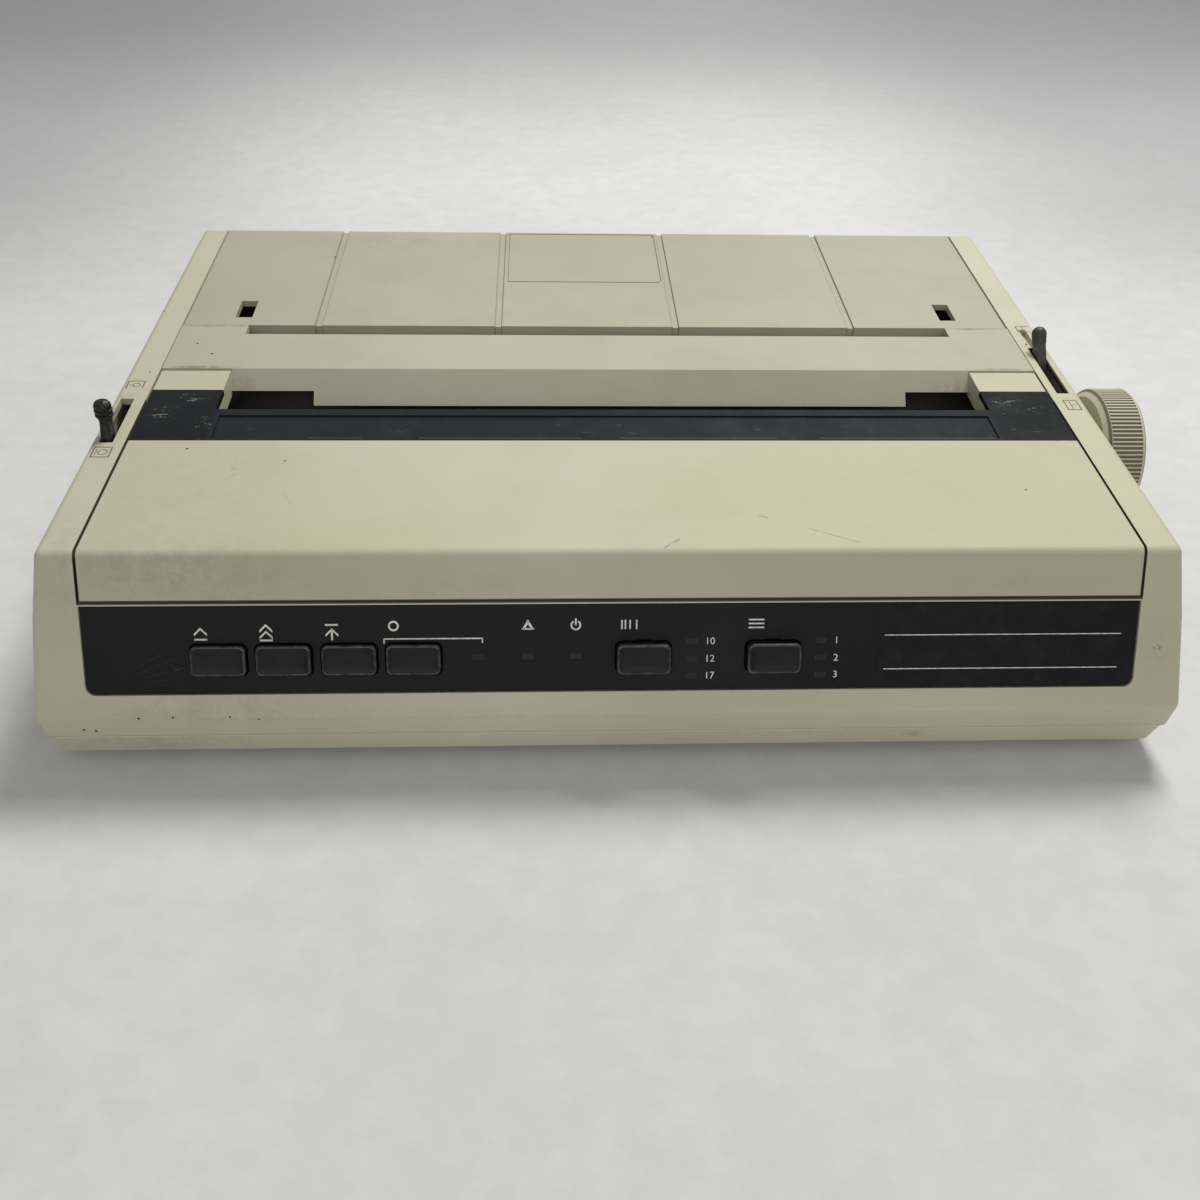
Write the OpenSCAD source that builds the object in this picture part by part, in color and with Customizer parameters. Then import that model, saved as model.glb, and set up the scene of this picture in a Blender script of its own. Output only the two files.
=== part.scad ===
/* [Case] */
// Width across the seam, the widest line of the case
case_w = 372; // [366:1:390]
// Depth from the nose to the rear wall
case_d = 275; // [270:1:300]
// Height of the rear top edge above the desk
case_h = 80; // [79:0.5:84]
// How far each side leans in from the seam to the top
side_draft = 6; // [4:0.1:7.5]
// Width of each top rail
rail_w = 11.4; // [11:0.1:12.5]
// Height of the fold between the top and the nose
fold_h = 72.7; // [72.5:0.1:74]
// Height of the lower edge of the nose
nose_h = 24.2; // [22:0.1:26]
// Lean of the nose from the vertical, in degrees
nose_lean = 24.8; // [22:0.2:26]
// Lean of the chin under the nose, in degrees
chin_lean = 13; // [8:0.5:16]
// Height of the seam between the upper and the lower case
seam_h = 14; // [13:0.5:15]
// Height of the underside above the desk
belly_h = 4; // [3:0.5:5]
// How far the rear wall leans in from the seam to the top
rear_draft = 6; // [3:0.5:8]
// Wall of the mouldings
wall = 2.5; // [2:0.1:2.8]
// Rounding of the outer edges
edge_r = 3; // [2:0.1:4]
// Gap between a moulding and the one beside it
panel_gap = 0.4; // [0.3:0.05:0.6]
/* [Access cover] */
// Length of the beige top of the cover behind the fold
cover_top = 64; // [60:0.5:66]
// Length of the smoked window at its ends
window_len = 35; // [33:0.5:36]
// Thickness of the window
window_t = 2; // [1.6:0.1:2.2]
// Length of the window in the middle, where paper comes out
window_mid = 21.2; // [18:0.2:22]
// Width of the rounded lip along the window's rear edge
window_lip = 4.2; // [3:0.2:5]
// Gap on each side of the cover
cover_gap = 0.8; // [0.6:0.05:1]
// Length of the hinge tabs behind the window
tab_len = 15.1; // [14:0.1:16]
// Width of each hinge tab
tab_w = 26.6; // [24:0.2:28]
// How far the cover's front comes down the nose
cover_drop = 15.6; // [13:0.2:16]
// Radius of the hinge pins of the cover and the separator
hinge_pin_r = 1.4; // [1.2:0.05:1.5]
/* [Paper bar and separator] */
// Length of the paper bar between the two slots
bar_len = 28; // [26:0.5:29]
// Length of the paper entry slot
entry_len = 9; // [8:0.5:10]
// How far the bar's front face runs forward and down
bar_slope = 10; // [9:0.5:10.5]
// How far the separator lies below the rails
separator_drop = 0.7; // [0.5:0.1:1]
// Width of the grooves in the separator
groove_w = 2.8; // [2.2:0.1:3.2]
// Distance from one groove to the next
groove_pitch = 72.6; // [70:0.2:74]
/* [Operation panel] */
// Distance down the nose to the panel's top edge
panel_top = 17.3; // [17:0.1:17.6]
// Height of the panel along the nose
panel_len = 28.6; // [28:0.1:29.4]
// Thickness of the panel
panel_t = 2.5; // [2:0.1:2.6]
// Width of a key
key_w = 17.3; // [15:0.1:18]
// Height of a key
key_h = 9.9; // [9:0.1:10.1]
// Travel of a key
key_travel = 1.2; // [0.8:0.1:1.5]
/* [Paper path] */
// Distance of the platen's axis behind the fold
platen_back = 95.6; // [95:0.1:96.5]
// Depth of the platen's axis below the top
platen_drop = 24.83; // [24.4:0.01:25.5]
// Radius of the platen's rubber sleeve
platen_r = 14.5; // [14:0.1:14.7]
// How far each end of the platen stays in from the side of the case
platen_inset = 55; // [54:0.5:57]
// Distance from the middle of the case to the middle of the paper
paper_off = 5.7; // [4:0.1:7]
// Radius of the platen shaft
platen_shaft_r = 4; // [3:0.1:4.5]
// Radius of the platen knob
knob_r = 24.8; // [22:0.1:26]
// Width of the platen knob
knob_w = 15; // [12:0.1:18]
// Number of ribs on the knob
knob_ribs = 96; // [60:2:96]
// Radius of the pressure rollers
pressure_r = 6; // [5.5:0.1:6.2]
// Radius of the bail rollers
bail_roller_r = 3.8; // [3.2:0.1:4]
// Radius of the bail bar
bail_bar_r = 2; // [1.5:0.1:2.2]
/* [Gears] */
// Module of all gears and the rack
gear_m = 1; // [0.95:0.01:1.03]
// Teeth of the platen gear
platen_teeth = 34; // [32:1:35]
// Teeth of the idler gear
idler_teeth = 36; // [34:1:37]
// Teeth of the feed motor's pinion
pinion_teeth = 14; // [13:1:15]
// Width of the gears
gear_w = 6; // [4:0.1:6.2]
/* [Carriage] */
// How far the printed line stays in from each end of the platen
line_inset = 29.4; // [28:0.1:41]
// Radius of the carriage's guide shaft
guide_r = 5; // [4:0.1:5.5]
// Depth of the guide shaft's axis below the platen's
guide_drop = 20.7; // [20:0.1:21.4]
// Radius of the print head's cooling fins
head_r = 17; // [15:0.1:17.2]
// Width of the ribbon cartridge
cartridge_w = 88; // [84:1:90]
/* [Frame] */
// Thickness of the steel sheet
sheet = 2; // [1.5:0.1:2.2]
// Distance from the seam at the side to the side plate's outer face
plate_inset = 28; // [26.5:0.5:29]
// Running clearance between a shaft and its hole
run = 0.05; // [0.03:0.01:0.08]

/* [Hidden] */
$fn = 48;
eps = 0.01;
far = 400;

// Case outline in the plane seen from the side, as y and z
top_gap = 0.3;
fold_y = -case_d / 2 + (fold_h - nose_h) * tan(nose_lean);
rear_top_y = case_d / 2 - rear_draft;
top_slope = atan((case_h - fold_h) / (rear_top_y - fold_y));
rear_lean = atan(rear_draft / (case_h - seam_h));
rails_w = case_w - 2 * side_draft;
bay_half = rails_w / 2 - rail_w;
side_bulge = 1.6;
belly_draft = 1.4;
function top_z(y) = fold_h + (y - fold_y) * tan(top_slope);
function half_w(z) = z > seam_h
  ? case_w / 2 - side_draft * pow((z - seam_h) / (case_h - seam_h), side_bulge)
  : case_w / 2 - belly_draft * (seam_h - z) / (seam_h - belly_h);
function front_y(z) = z > nose_h
  ? fold_y - (fold_h - z) * tan(nose_lean)
  : -case_d / 2 + (nose_h - z) * tan(chin_lean);
function rear_y(z) = case_d / 2 - max(z - seam_h, 0) * tan(rear_lean);
function dir(a) = [cos(a), sin(a)];

// Axis of the platen
platen_y = fold_y + platen_back;
platen_h = top_z(platen_y) - platen_drop;

// The case is shifted so that the knob and the case together are centred
knob_cone = 3;
knob_in = half_w(platen_h - knob_r + knob_cone) + 0.5;
knob_out = knob_in + knob_w;
case_x = (case_w / 2 - knob_out) / 2;
paper_x = -paper_off;

// Cover, bar and separator along the top
window_y0 = fold_y + cover_top;
window_y1 = window_y0 + window_len;
window_ym = window_y0 + window_mid;
tab_y1 = window_y1 + tab_len;
tab_in = bay_half - tab_w;
cover_half = bay_half - cover_gap;
fill_half = bay_half - panel_gap;
bar_y0 = tab_y1 + 1;
bar_y1 = bar_y0 + bar_len;
sep_y0 = bar_y1 + entry_len;
sep_y1 = rear_top_y - 0.3;
hinge_y = tab_y1 - 2.6;
hinge_z = top_z(tab_y1) - 2.7;
sep_hinge_y = sep_y0 + 3.6;
sep_hinge_z = top_z(sep_y0) - separator_drop - 2.7;
cover_low_z = fold_h - cover_drop * cos(nose_lean);
front_rim_z = cover_low_z - 0.8;
sep_seat_z = top_z(sep_y1) - separator_drop - wall / cos(top_slope) - 0.3;
lip_t = 2;
lip_depth = 9;
end_t = 1.6;
tab_depth = 5.4;

// Keys and lamps, placed from the panel's left end
key_s = 34.8;
panel_left = -fill_half;
line_feed_x = panel_left + 41.8;
form_feed_x = panel_left + 62.1;
top_set_x = panel_left + 82.6;
select_x = panel_left + 102.8;
pitch_x = panel_left + 175.8;
mode_x = panel_left + 217.5;
keys_x = [line_feed_x, form_feed_x, top_set_x, select_x, pitch_x, mode_x];
lamp_s = 34.5;
lamps_x = panel_left * [1, 1, 1] + [123.1, 139, 154.2];
lamp_columns_x = [pitch_x, mode_x] + 15.6 * [1, 1];
lamp_rows_s = [29.8, 35.6, 41.3];
lamp_size = [4, 2.2];
panel_sunk = 0.6;
panel_back = panel_sunk + panel_t;
panel_seat = 2;
panel_rim = 3.3;
key_hole_gap = 0.5;
key_corner = 1.8;
key_flange_t = 1.2;
key_stem = 1.4;
switch_h = 3;
board_t = 1.6;
key_flange_top = panel_back + 0.3;
key_stem_end = key_flange_top + key_flange_t + key_stem;
switch_top = key_stem_end + key_travel + 0.3;
panel_board_top = switch_top + switch_h;
keys_board_x0 = line_feed_x - 19.6;
keys_board_x1 = mode_x + 30.7;

// Mechanism
platen_len = case_w - 2 * platen_inset;
line_len = platen_len - 2 * line_inset;
paper_t = 0.3;
plate_out = case_w / 2 - plate_inset;
plate_in = plate_out - sheet;
base_z = seam_h + 1.5;
base_top = base_z + 1.5;
plate_top = top_z(bar_y0) - 10.1;
plate_front = fold_y + 8;
plate_back = sep_y0 + 21;
guide_y = platen_y - 42;
guide_h = platen_h - guide_drop;
chute_in = platen_r + 1.8;
chute_t = 1.2;
nip = platen_r + pressure_r + paper_t;
pressure_spread = 25;
front_nip = [platen_y, platen_h] + nip * dir(-90 - pressure_spread);
rear_nip = [platen_y, platen_h] + nip * dir(-90 + pressure_spread);
pressure_pin_r = 2;
pivot_y = platen_y + 27.5;
pivot_z = platen_h - 24.7;
pivot_r = 2.5;
frame_half = platen_len / 2 - 12;
pressure_pitch = frame_half - 39;
bail_pitch = frame_half - 59;
frame_tilt = 4;
release_y = platen_y + 21;
release_z = platen_h - 12.7;
release_r = 3;
release_swing = 34;
bail_y = platen_y - 28;
bail_z = platen_h - 15.7;
bail_arm = 32.3;
bail_swing = 26;
bail_closed = 62.85;
bail_rest = bail_closed + bail_swing;
bail_pin_r = 3;
bail_pos = [bail_y, bail_z] + bail_arm * dir(bail_rest);
lever_x = rails_w / 2 - 4.8;
lever_t = 3.4;

// Gear train at the left, in the plane of y and z
motor_r = 19;
addendum = 0.85;
dedendum = 1.15;
backlash = 0.12;
gear_x1 = -plate_out - 1.5;
gear_x0 = gear_x1 - gear_w;
r_platen = gear_m * platen_teeth / 2;
r_idler = gear_m * idler_teeth / 2;
r_pinion = gear_m * pinion_teeth / 2;
gear_play = 0.05;
idler_dir = -32;
pinion_dir = 12;
idler_pos = [platen_y, platen_h] + (r_platen + r_idler + gear_play) * dir(idler_dir);
motor_pos = idler_pos + (r_idler + r_pinion + gear_play) * dir(pinion_dir);
idler_phase = idler_dir + 180 + 180 / idler_teeth;
pinion_phase = pinion_dir + 180 + 180 / pinion_teeth
  + (pinion_dir - idler_phase) * idler_teeth / pinion_teeth;
stub_r = 3;
motor_shaft_r = 2.5;

// Carriage
space_teeth = 14;
space_r = gear_m * space_teeth / 2;
space_x = paper_x - 28;
space_z = guide_h + 3;
rack_line_z = space_z - space_r - gear_play;
rack_y1 = guide_y - 30.5;
rack_y0 = rack_y1 - gear_w;
rack_pitch = PI * gear_m;
rack_depth = 5;
rack_count = ceil(line_len / 2 / rack_pitch) + 4;
cartridge_z = platen_h + 1.3;
cartridge_top = cartridge_z + 12;
cartridge_y1 = guide_y + 1.5;
cartridge_y0 = cartridge_y1 - 38;
head_flange_y = guide_y + 4.5;
head_nose_y = platen_y - platen_r - 1.5;
cheek_in = head_r + 2;
cheek_out = cheek_in + 4;
ribbon_h = 8.5;
ribbon_t = 0.25;
ribbon_y = platen_y - platen_r - 1;
knob_stem_x = -(cheek_out + cartridge_w / 2) / 2;
knob_stem_y = cartridge_y0 + 18;

// Electronics
board_z = belly_h + wall + 2.5;
board_x0 = -plate_in + 14;
board_x1 = plate_in - 104;
board_y0 = plate_front + 12;
board_y1 = case_d / 2 - 16;
transformer_x = plate_in - 52;
inlet_x = case_w / 2 - 74;
switch_x = case_w / 2 - 34;
port_x = -case_w / 2 + 116;
socket_z = 33;
inlet_size = [28, 21];
inlet_depth = 24;
switch_size = [15, 22];
port_size = [66, 16];
port_z = board_z + board_t + 17;
vent_x = port_x + port_size[0] / 2 + 29;
vent_count = floor((inlet_x - inlet_size[0] / 2 - 22 - vent_x) / 8);
foot_x = case_w / 2 - 26;
foot_y0 = -case_d / 2 + 30;
foot_y1 = case_d / 2 - 28;
foot_r = 9;
stud_x = case_w / 2 - 14;
stud_y0 = -case_d / 2 + 20;
stud_y1 = case_d / 2 - 12;
stud_r = 4;
stud_top = 40;
screw_r = 1.5;
post_x = plate_out - 8;
bar_screw_x = plate_in - 3;
post_ys = [rack_y1 + 8, plate_back - 6];

beige = "#b9b59b";
black_moulding = "#26272a";
steel = "#9a9c9e";

module placed() translate([case_x, 0, 0]) children();
module block(lo, hi) translate(lo) cube(hi - lo);
module rod_x(x0, x1, at, r) translate([x0, at[0], at[1]]) rotate([0, 90, 0]) cylinder(r = r, h = x1 - x0);
module rod_y(y0, y1, at, r) translate([at[0], y0, at[1]]) rotate([-90, 0, 0]) cylinder(r = r, h = y1 - y0);
module rod_z(z0, z1, at, r) translate([at[0], at[1], z0]) cylinder(r = r, h = z1 - z0);
module tube_x(x0, x1, at, r, bore) difference() {
  rod_x(x0, x1, at, r);
  rod_x(x0 - 1, x1 + 1, at, bore);
}
module side_extrude(x0, x1) translate([x0, 0, 0]) rotate([90, 0, 90]) linear_extrude(x1 - x0) children();
module front_extrude(y0, y1) translate([0, y1, 0]) rotate([90, 0, 0]) linear_extrude(y1 - y0) children();
module both_sides() {
  children();
  mirror([1, 0, 0]) children();
}
// A frame on the nose: x across, y up the slope, z straight out, its origin on the fold
module on_nose(x = 0, s = 0)
  translate([x, fold_y, fold_h]) rotate([90 - nose_lean, 0, 0]) translate([0, -s, 0]) children();
module rounded_rect(w, h, r) offset(r = r, $fn = 32) square([w - 2 * r, h - 2 * r], center = true);

// Outline of the case seen from the side
module case_side(low) polygon([
  [front_y(low), low], [-case_d / 2, nose_h], [fold_y, fold_h],
  [rear_top_y, case_h], [case_d / 2, seam_h], [case_d / 2, low]
]);
module soft_side() offset(r = edge_r, $fn = 32) offset(delta = -edge_r) case_side(seam_h - 8);
// A band of the top and the nose between two depths below the outer face
module skin(d0, d1) difference() {
  offset(delta = -d0) soft_side();
  offset(delta = -d1) soft_side();
}
// A band of the top alone between two depths
module top_band(y0, y1, d0, d1) polygon([
  [y0, top_z(y0) - d0], [y1, top_z(y1) - d0], [y1, top_z(y1) - d1], [y0, top_z(y0) - d1]
]);
// Outline of the case seen from the front
module case_front(inset) {
  heights = [seam_h - 8, seam_h, nose_h, (nose_h + case_h) / 2, case_h + 10];
  polygon(concat(
    [for (z = heights) [half_w(min(max(z, seam_h), case_h)) - inset, z]],
    [for (i = [len(heights) - 1 : -1 : 0]) [-half_w(min(max(heights[i], seam_h), case_h)) + inset, heights[i]]]
  ));
}
function inward(p, n1, n2, r) = p - r * (n1 + n2) / (1 + n1 * n2);
module corner_ball(p, z, r) both_sides() translate([half_w(z) - r, p[0], p[1]]) sphere(r = r, $fn = 28);
module case_body() {
  n_top = dir(90 + top_slope);
  n_nose = dir(180 - nose_lean);
  n_chin = dir(180 + chin_lean);
  n_rear = dir(rear_lean);
  mid_h = (nose_h + case_h) / 2;
  foot = seam_h - 8;
  hull() {
    corner_ball(inward([fold_y, fold_h], n_top, n_nose, edge_r), fold_h, edge_r);
    corner_ball(inward([rear_top_y, case_h], n_top, n_rear, edge_r), case_h, edge_r);
    corner_ball([front_y(mid_h), mid_h] - edge_r * n_nose, mid_h, edge_r);
    corner_ball([rear_y(mid_h), mid_h] - edge_r * n_rear, mid_h, edge_r);
    corner_ball(inward([-case_d / 2, nose_h], n_nose, n_chin, edge_r), nose_h, edge_r);
    corner_ball([front_y(foot), foot] - edge_r * n_chin, seam_h, edge_r);
    corner_ball([case_d / 2 - edge_r, foot], seam_h, edge_r);
  }
}
module case_cavity() intersection() {
  side_extrude(-far / 2, far / 2) offset(delta = -wall) case_side(seam_h - 8);
  front_extrude(-far / 2, far / 2) case_front(wall);
}

module upper_case() color(beige) placed() difference() {
  union() {
    difference() {
      intersection() {
        case_body();
        block([-far, -far, seam_h], [far, far, far]);
      }
      case_cavity();
      // Bay for the cover, the bar and the separator
      block([-bay_half, -far, front_rim_z], [bay_half, rear_top_y - 20, far]);
      block([-bay_half, rear_top_y - 21, sep_seat_z], [bay_half, far, far]);
      block([-bay_half, -far, sep_seat_z - 4], [bay_half, rear_top_y - wall - 1, far]);
    }
    both_sides() {
      // Inner lip of the rail
      side_extrude(bay_half, bay_half + lip_t) intersection() {
        skin(1, lip_depth);
        translate([-far / 2, front_rim_z - 2]) square([far / 2 + rear_top_y - 1, far]);
      }
      // Screw studs with a rib to the wall
      for (y = [stud_y0, stud_y1]) {
        rod_z(seam_h, stud_top, [stud_x, y], stud_r);
        block([stud_x, y - 1, seam_h], [half_w(stud_top) - 1, y + 1, stud_top]);
      }
    }
    // Rim and backing ledge round the operation panel
    intersection() {
      on_nose(0, panel_top + panel_len / 2) translate([0, 0, -panel_back - panel_seat])
        linear_extrude(panel_back + panel_seat - 1)
          square([2 * bay_half + 8, panel_len + 10], center = true);
      block([-far, -far, nose_h], [far, far, front_rim_z]);
    }
  }
  // Pocket and window of the operation panel
  on_nose(0, panel_top + panel_len / 2) {
    translate([0, 0, -panel_back]) linear_extrude(far) panel_outline(panel_gap / 2);
    translate([0, 0, -panel_back - 10]) linear_extrude(20)
      square([2 * (fill_half - panel_rim), panel_len - 2 * panel_rim], center = true);
  }
  // Slots for the bail lever and the release lever
  block([-lever_x - 2.4, bail_y - 4.9, 60], [-lever_x + 2.4, bail_y + 24.9, far]);
  block([lever_x - 3.6, release_y - 19, 60], [lever_x + 1.2, release_y + 21, far]);
  block([lever_x - 2.6, release_y + 16, top_z(0) - 1.4], [lever_x + 0.2, release_y + 33, far]);
  // Hinge holes of the cover and the separator
  both_sides() {
    rod_x(bay_half - 1, bay_half + lip_t + 1, [hinge_y, hinge_z], hinge_pin_r + run);
    rod_x(bay_half - 1, bay_half + lip_t + 1, [sep_hinge_y, sep_hinge_z], hinge_pin_r + run);
    for (y = [stud_y0, stud_y1]) rod_z(seam_h - 1, 34, [stud_x, y], screw_r);
  }
  // Platen shaft and the rear sockets
  rod_x(half_w(seam_h) - 12, far, [platen_y, platen_h], platen_shaft_r + 2);
  block([inlet_x - inlet_size[0] / 2, 0, socket_z - inlet_size[1] / 2],
        [inlet_x + inlet_size[0] / 2, far, socket_z + inlet_size[1] / 2]);
  block([switch_x - switch_size[0] / 2, 0, socket_z - switch_size[1] / 2],
        [switch_x + switch_size[0] / 2, far, socket_z + switch_size[1] / 2]);
  block([port_x - port_size[0] / 2 - 1, 0, port_z - port_size[1] / 2 - 1],
        [port_x + port_size[0] / 2 + 1, far, port_z + port_size[1] / 2 + 1]);
  // Cooling slots in the rear wall
  for (i = [0 : vent_count - 1]) block([vent_x + 8 * i, 0, 30], [vent_x + 4 + 8 * i, far, 56]);
}

module lower_case() color(beige) placed() difference() {
  union() {
    difference() {
      intersection() {
        hull() for (s = [-1, 1]) {
          for (y = [front_y(seam_h) + seam_step + tray_r, case_d / 2 - seam_step - tray_r])
            translate([s * (half_w(seam_h) - seam_step - tray_r), y, seam_h]) tray_bead();
          for (y = [front_y(belly_h) + seam_step + tray_r, case_d / 2 - 1.5 - tray_r])
            translate([s * (half_w(belly_h) - seam_step - tray_r), y, belly_h + tray_edge]) tray_bead();
        }
        block([-far, -far, 0], [far, far, seam_h]);
      }
      tray_space(wall + 0.3, belly_h + wall, seam_h + 1);
      // Shadow line along the seam
      difference() {
        tray_space(-5, seam_h - 0.5, seam_h + 1);
        tray_space(seam_step + 0.8, seam_h - 1, seam_h + 2);
      }
    }
    // Tongue inside the upper case
    difference() {
      tray_space(wall + 0.4, seam_h - 3, seam_h + 3);
      tray_space(wall + 1.8, seam_h - 4, seam_h + 4);
      both_sides() for (y = [stud_y0, stud_y1])
        block([stud_x - stud_r - 1, y - stud_r - 1, seam_h], [far, y + stud_r + 1, seam_h + 4]);
    }
    both_sides() {
      for (y = [stud_y0, stud_y1]) rod_z(belly_h + 1, seam_h, [stud_x, y], stud_r);
      for (y = post_ys) rod_z(belly_h + 1, base_z, [post_x, y], stud_r);
    }
    // Stand-offs of the main board
    for (x = [board_x0 + 6, board_x1 - 6], y = [board_y0 + 6, board_y1 - 6])
      rod_z(belly_h + 1, board_z, [x, y], 3);
  }
  both_sides() {
    for (y = [stud_y0, stud_y1]) {
      rod_z(0, seam_h + 1, [stud_x, y], screw_r + 0.1);
      rod_z(0, belly_h + 2.5, [stud_x, y], 3.1);
    }
    for (y = post_ys) rod_z(belly_h + 2, base_z + 1, [post_x, y], screw_r);
    for (y = [foot_y0, foot_y1]) rod_z(0, 20, [foot_x, y], foot_stem_r + run);
  }
  // Cooling slots in the floor below the transformer
  for (i = [0 : 7]) block([transformer_x - 30 + 8 * i, 12, 0], [transformer_x - 26 + 8 * i, 42, 8]);
}
tray_r = 4;
tray_edge = 1.6;
seam_step = 0.5;
module tray_bead() rotate_extrude($fn = 28) translate([tray_r - tray_edge, 0]) circle(r = tray_edge, $fn = 16);
foot_stem_r = 3;
module tray_space(inset, z0, z1) translate([0, 0, z0]) linear_extrude(z1 - z0)
  translate([0, (front_y(seam_h) + case_d / 2) / 2])
    rounded_rect(case_w - 2 * inset, case_d / 2 - front_y(seam_h) - 2 * inset, tray_r);

module feet() color("#2b2b2b") placed() both_sides() for (y = [foot_y0, foot_y1]) {
  translate([foot_x, y, 0]) rotate_extrude() polygon([
    [0, 0], [foot_r - 1, 0], [foot_r, 1], [foot_r, belly_h], [foot_stem_r, belly_h],
    [foot_stem_r, belly_h + wall], [foot_stem_r + 1.2, belly_h + wall],
    [foot_stem_r - 0.5, belly_h + wall + 2], [0, belly_h + wall + 2]
  ]);
}

module panel_outline(grow) offset(delta = grow) {
  lower_r = 3;
  hull() {
    translate([0, panel_len / 2 - 1]) square([2 * fill_half, 2], center = true);
    for (s = [-1, 1]) translate([s * (fill_half - lower_r), -panel_len / 2 + lower_r])
      circle(r = lower_r, $fn = 32);
  }
}
module operation_panel() color(black_moulding) placed()
  on_nose(0, panel_top + panel_len / 2) {
    mid_s = panel_top + panel_len / 2;
    difference() {
      translate([0, 0, -panel_back]) linear_extrude(panel_t) panel_outline(-panel_gap / 2);
      for (x = keys_x) translate([x, mid_s - key_s, -far / 2]) linear_extrude(far)
        rounded_rect(key_w + 2 * key_hole_gap, key_h + 2 * key_hole_gap, key_corner + key_hole_gap);
      // Finger notch above the two taller keys
      for (x = [pitch_x, mode_x])
        translate([x, mid_s - key_s + key_h / 2 + key_hole_gap, -panel_sunk - 1]) linear_extrude(far)
          square([4.4, 1.4], center = true);
      for (p = lamp_places) translate([p[0], mid_s - p[1], -far / 2]) linear_extrude(far)
        square(lamp_size, center = true);
    }
    for (p = board_posts) translate([p[0], mid_s - p[1], -panel_board_top])
      cylinder(r = 2, h = panel_board_top - panel_back);
  }
lamp_places = concat(
  [for (x = lamps_x) [x, lamp_s]],
  [for (x = lamp_columns_x, s = lamp_rows_s) [x, s]]
);
board_posts = [
  [keys_board_x0 + 5, 30], [keys_board_x0 + 5, 40], [lamps_x[1] - 6.8, 26],
  [keys_board_x1 - 6, 30], [keys_board_x1 - 6, 40]
];

module panel_lamps() color("#3a3d40") placed() for (p = lamp_places) on_nose(p[0], p[1])
  translate([0, 0, -panel_board_top]) linear_extrude(panel_board_top - panel_sunk - 0.1)
    square(lamp_size - 0.1 * [1, 1], center = true);

module panel_board() color("#3b6b45") placed() {
  on_nose(0, key_s) translate([keys_board_x0, -9, -panel_board_top - board_t])
    cube([keys_board_x1 - keys_board_x0, 19, board_t]);
  for (x = keys_x) on_nose(x, key_s) translate([0, 0, -panel_board_top]) linear_extrude(switch_h)
    square([7, 7], center = true);
}

module key_cap(x, proud) color("#2c2d2f") placed() on_nose(x, key_s) {
  translate([0, 0, -key_flange_top - eps]) linear_extrude(key_flange_top + proud)
    rounded_rect(key_w, key_h, key_corner);
  translate([0, 0, -key_flange_top - key_flange_t]) linear_extrude(key_flange_t)
    square([key_w + 2.2, key_h + 2], center = true);
  translate([0, 0, -key_stem_end]) cylinder(r = 2, h = key_stem + eps);
}
low_key = 1.4;
tall_key = 3.2;
module line_feed_key() key_cap(line_feed_x, low_key);
module form_feed_key() key_cap(form_feed_x, low_key);
module top_set_key() key_cap(top_set_x, low_key);
module select_key() key_cap(select_x, low_key);
module pitch_key() key_cap(pitch_x, tall_key);
module mode_key() key_cap(mode_x, tall_key);

// Region of the side view behind one line and before another, above a height
module slice(y0, y1, z0) translate([y0, z0]) square([y1 - y0, far]);
// Side boundary of the cut-back, between the cover's tabs
module access_cover() color(beige) placed() difference() {
  union() {
    side_extrude(-cover_half, cover_half) intersection() {
      skin(0, wall);
      slice(-far / 2, window_y0, cover_low_z);
    }
    // Stiffening rib under the front edge of the window
    side_extrude(-cover_half, cover_half) top_band(window_y0 - 14, window_y0 - 11, wall - 0.5, wall + 2.5);
    both_sides() {
      side_extrude(tab_in, cover_half) top_band(window_y0 - 2, window_y1 + 1, window_t - 0.5, window_t + end_t);
      difference() {
        side_extrude(tab_in, cover_half) intersection() {
          offset(r = 1, $fn = 32) offset(delta = -1) top_band(window_y1 - 20, tab_y1, 0, tab_depth);
          slice(window_y1, tab_y1, 40);
        }
        block([tab_in + wall, window_y1 + wall, 40], [cover_half - wall, hinge_y - 3, top_z(window_y1) - wall]);
      }
      // Side skirt, which ends in front of the gears, and the wall of the cut-back
      side_extrude(cover_half - lip_t, cover_half) intersection() {
        skin(1, lip_depth - 1);
        slice(-far / 2, window_y0 - 4, cover_low_z);
      }
      side_extrude(tab_in, tab_in + lip_t) top_band(window_ym, hinge_y - 1, window_t + 1, lip_depth - 1);
      rod_x(cover_half - 3, bay_half + lip_t - 0.3, [hinge_y, hinge_z], hinge_pin_r);
    }
  }
  // Bed for the window plate
  side_extrude(-far, far) top_band(window_y0, window_y1, -1, window_t);
}

module cover_window() color("#3a3d41") placed() difference() {
  union() {
    side_extrude(-cover_half, cover_half) top_band(window_y0 + 0.1, window_y1 - 0.1, 0, window_t);
    // Rounded lip along the rear rim, and a rib below it
    side_extrude(-tab_in, tab_in) top_band(window_ym - 1.6, window_ym, 0, window_t + 2);
  }
  block([-tab_in, window_ym, 0], [tab_in, far, far]);
  // Lens area between the front line and the lip
  side_extrude(-tab_in + 2, tab_in - 2) top_band(window_y0 + 1.6, window_ym - window_lip, -1, 0.6);
}

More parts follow.
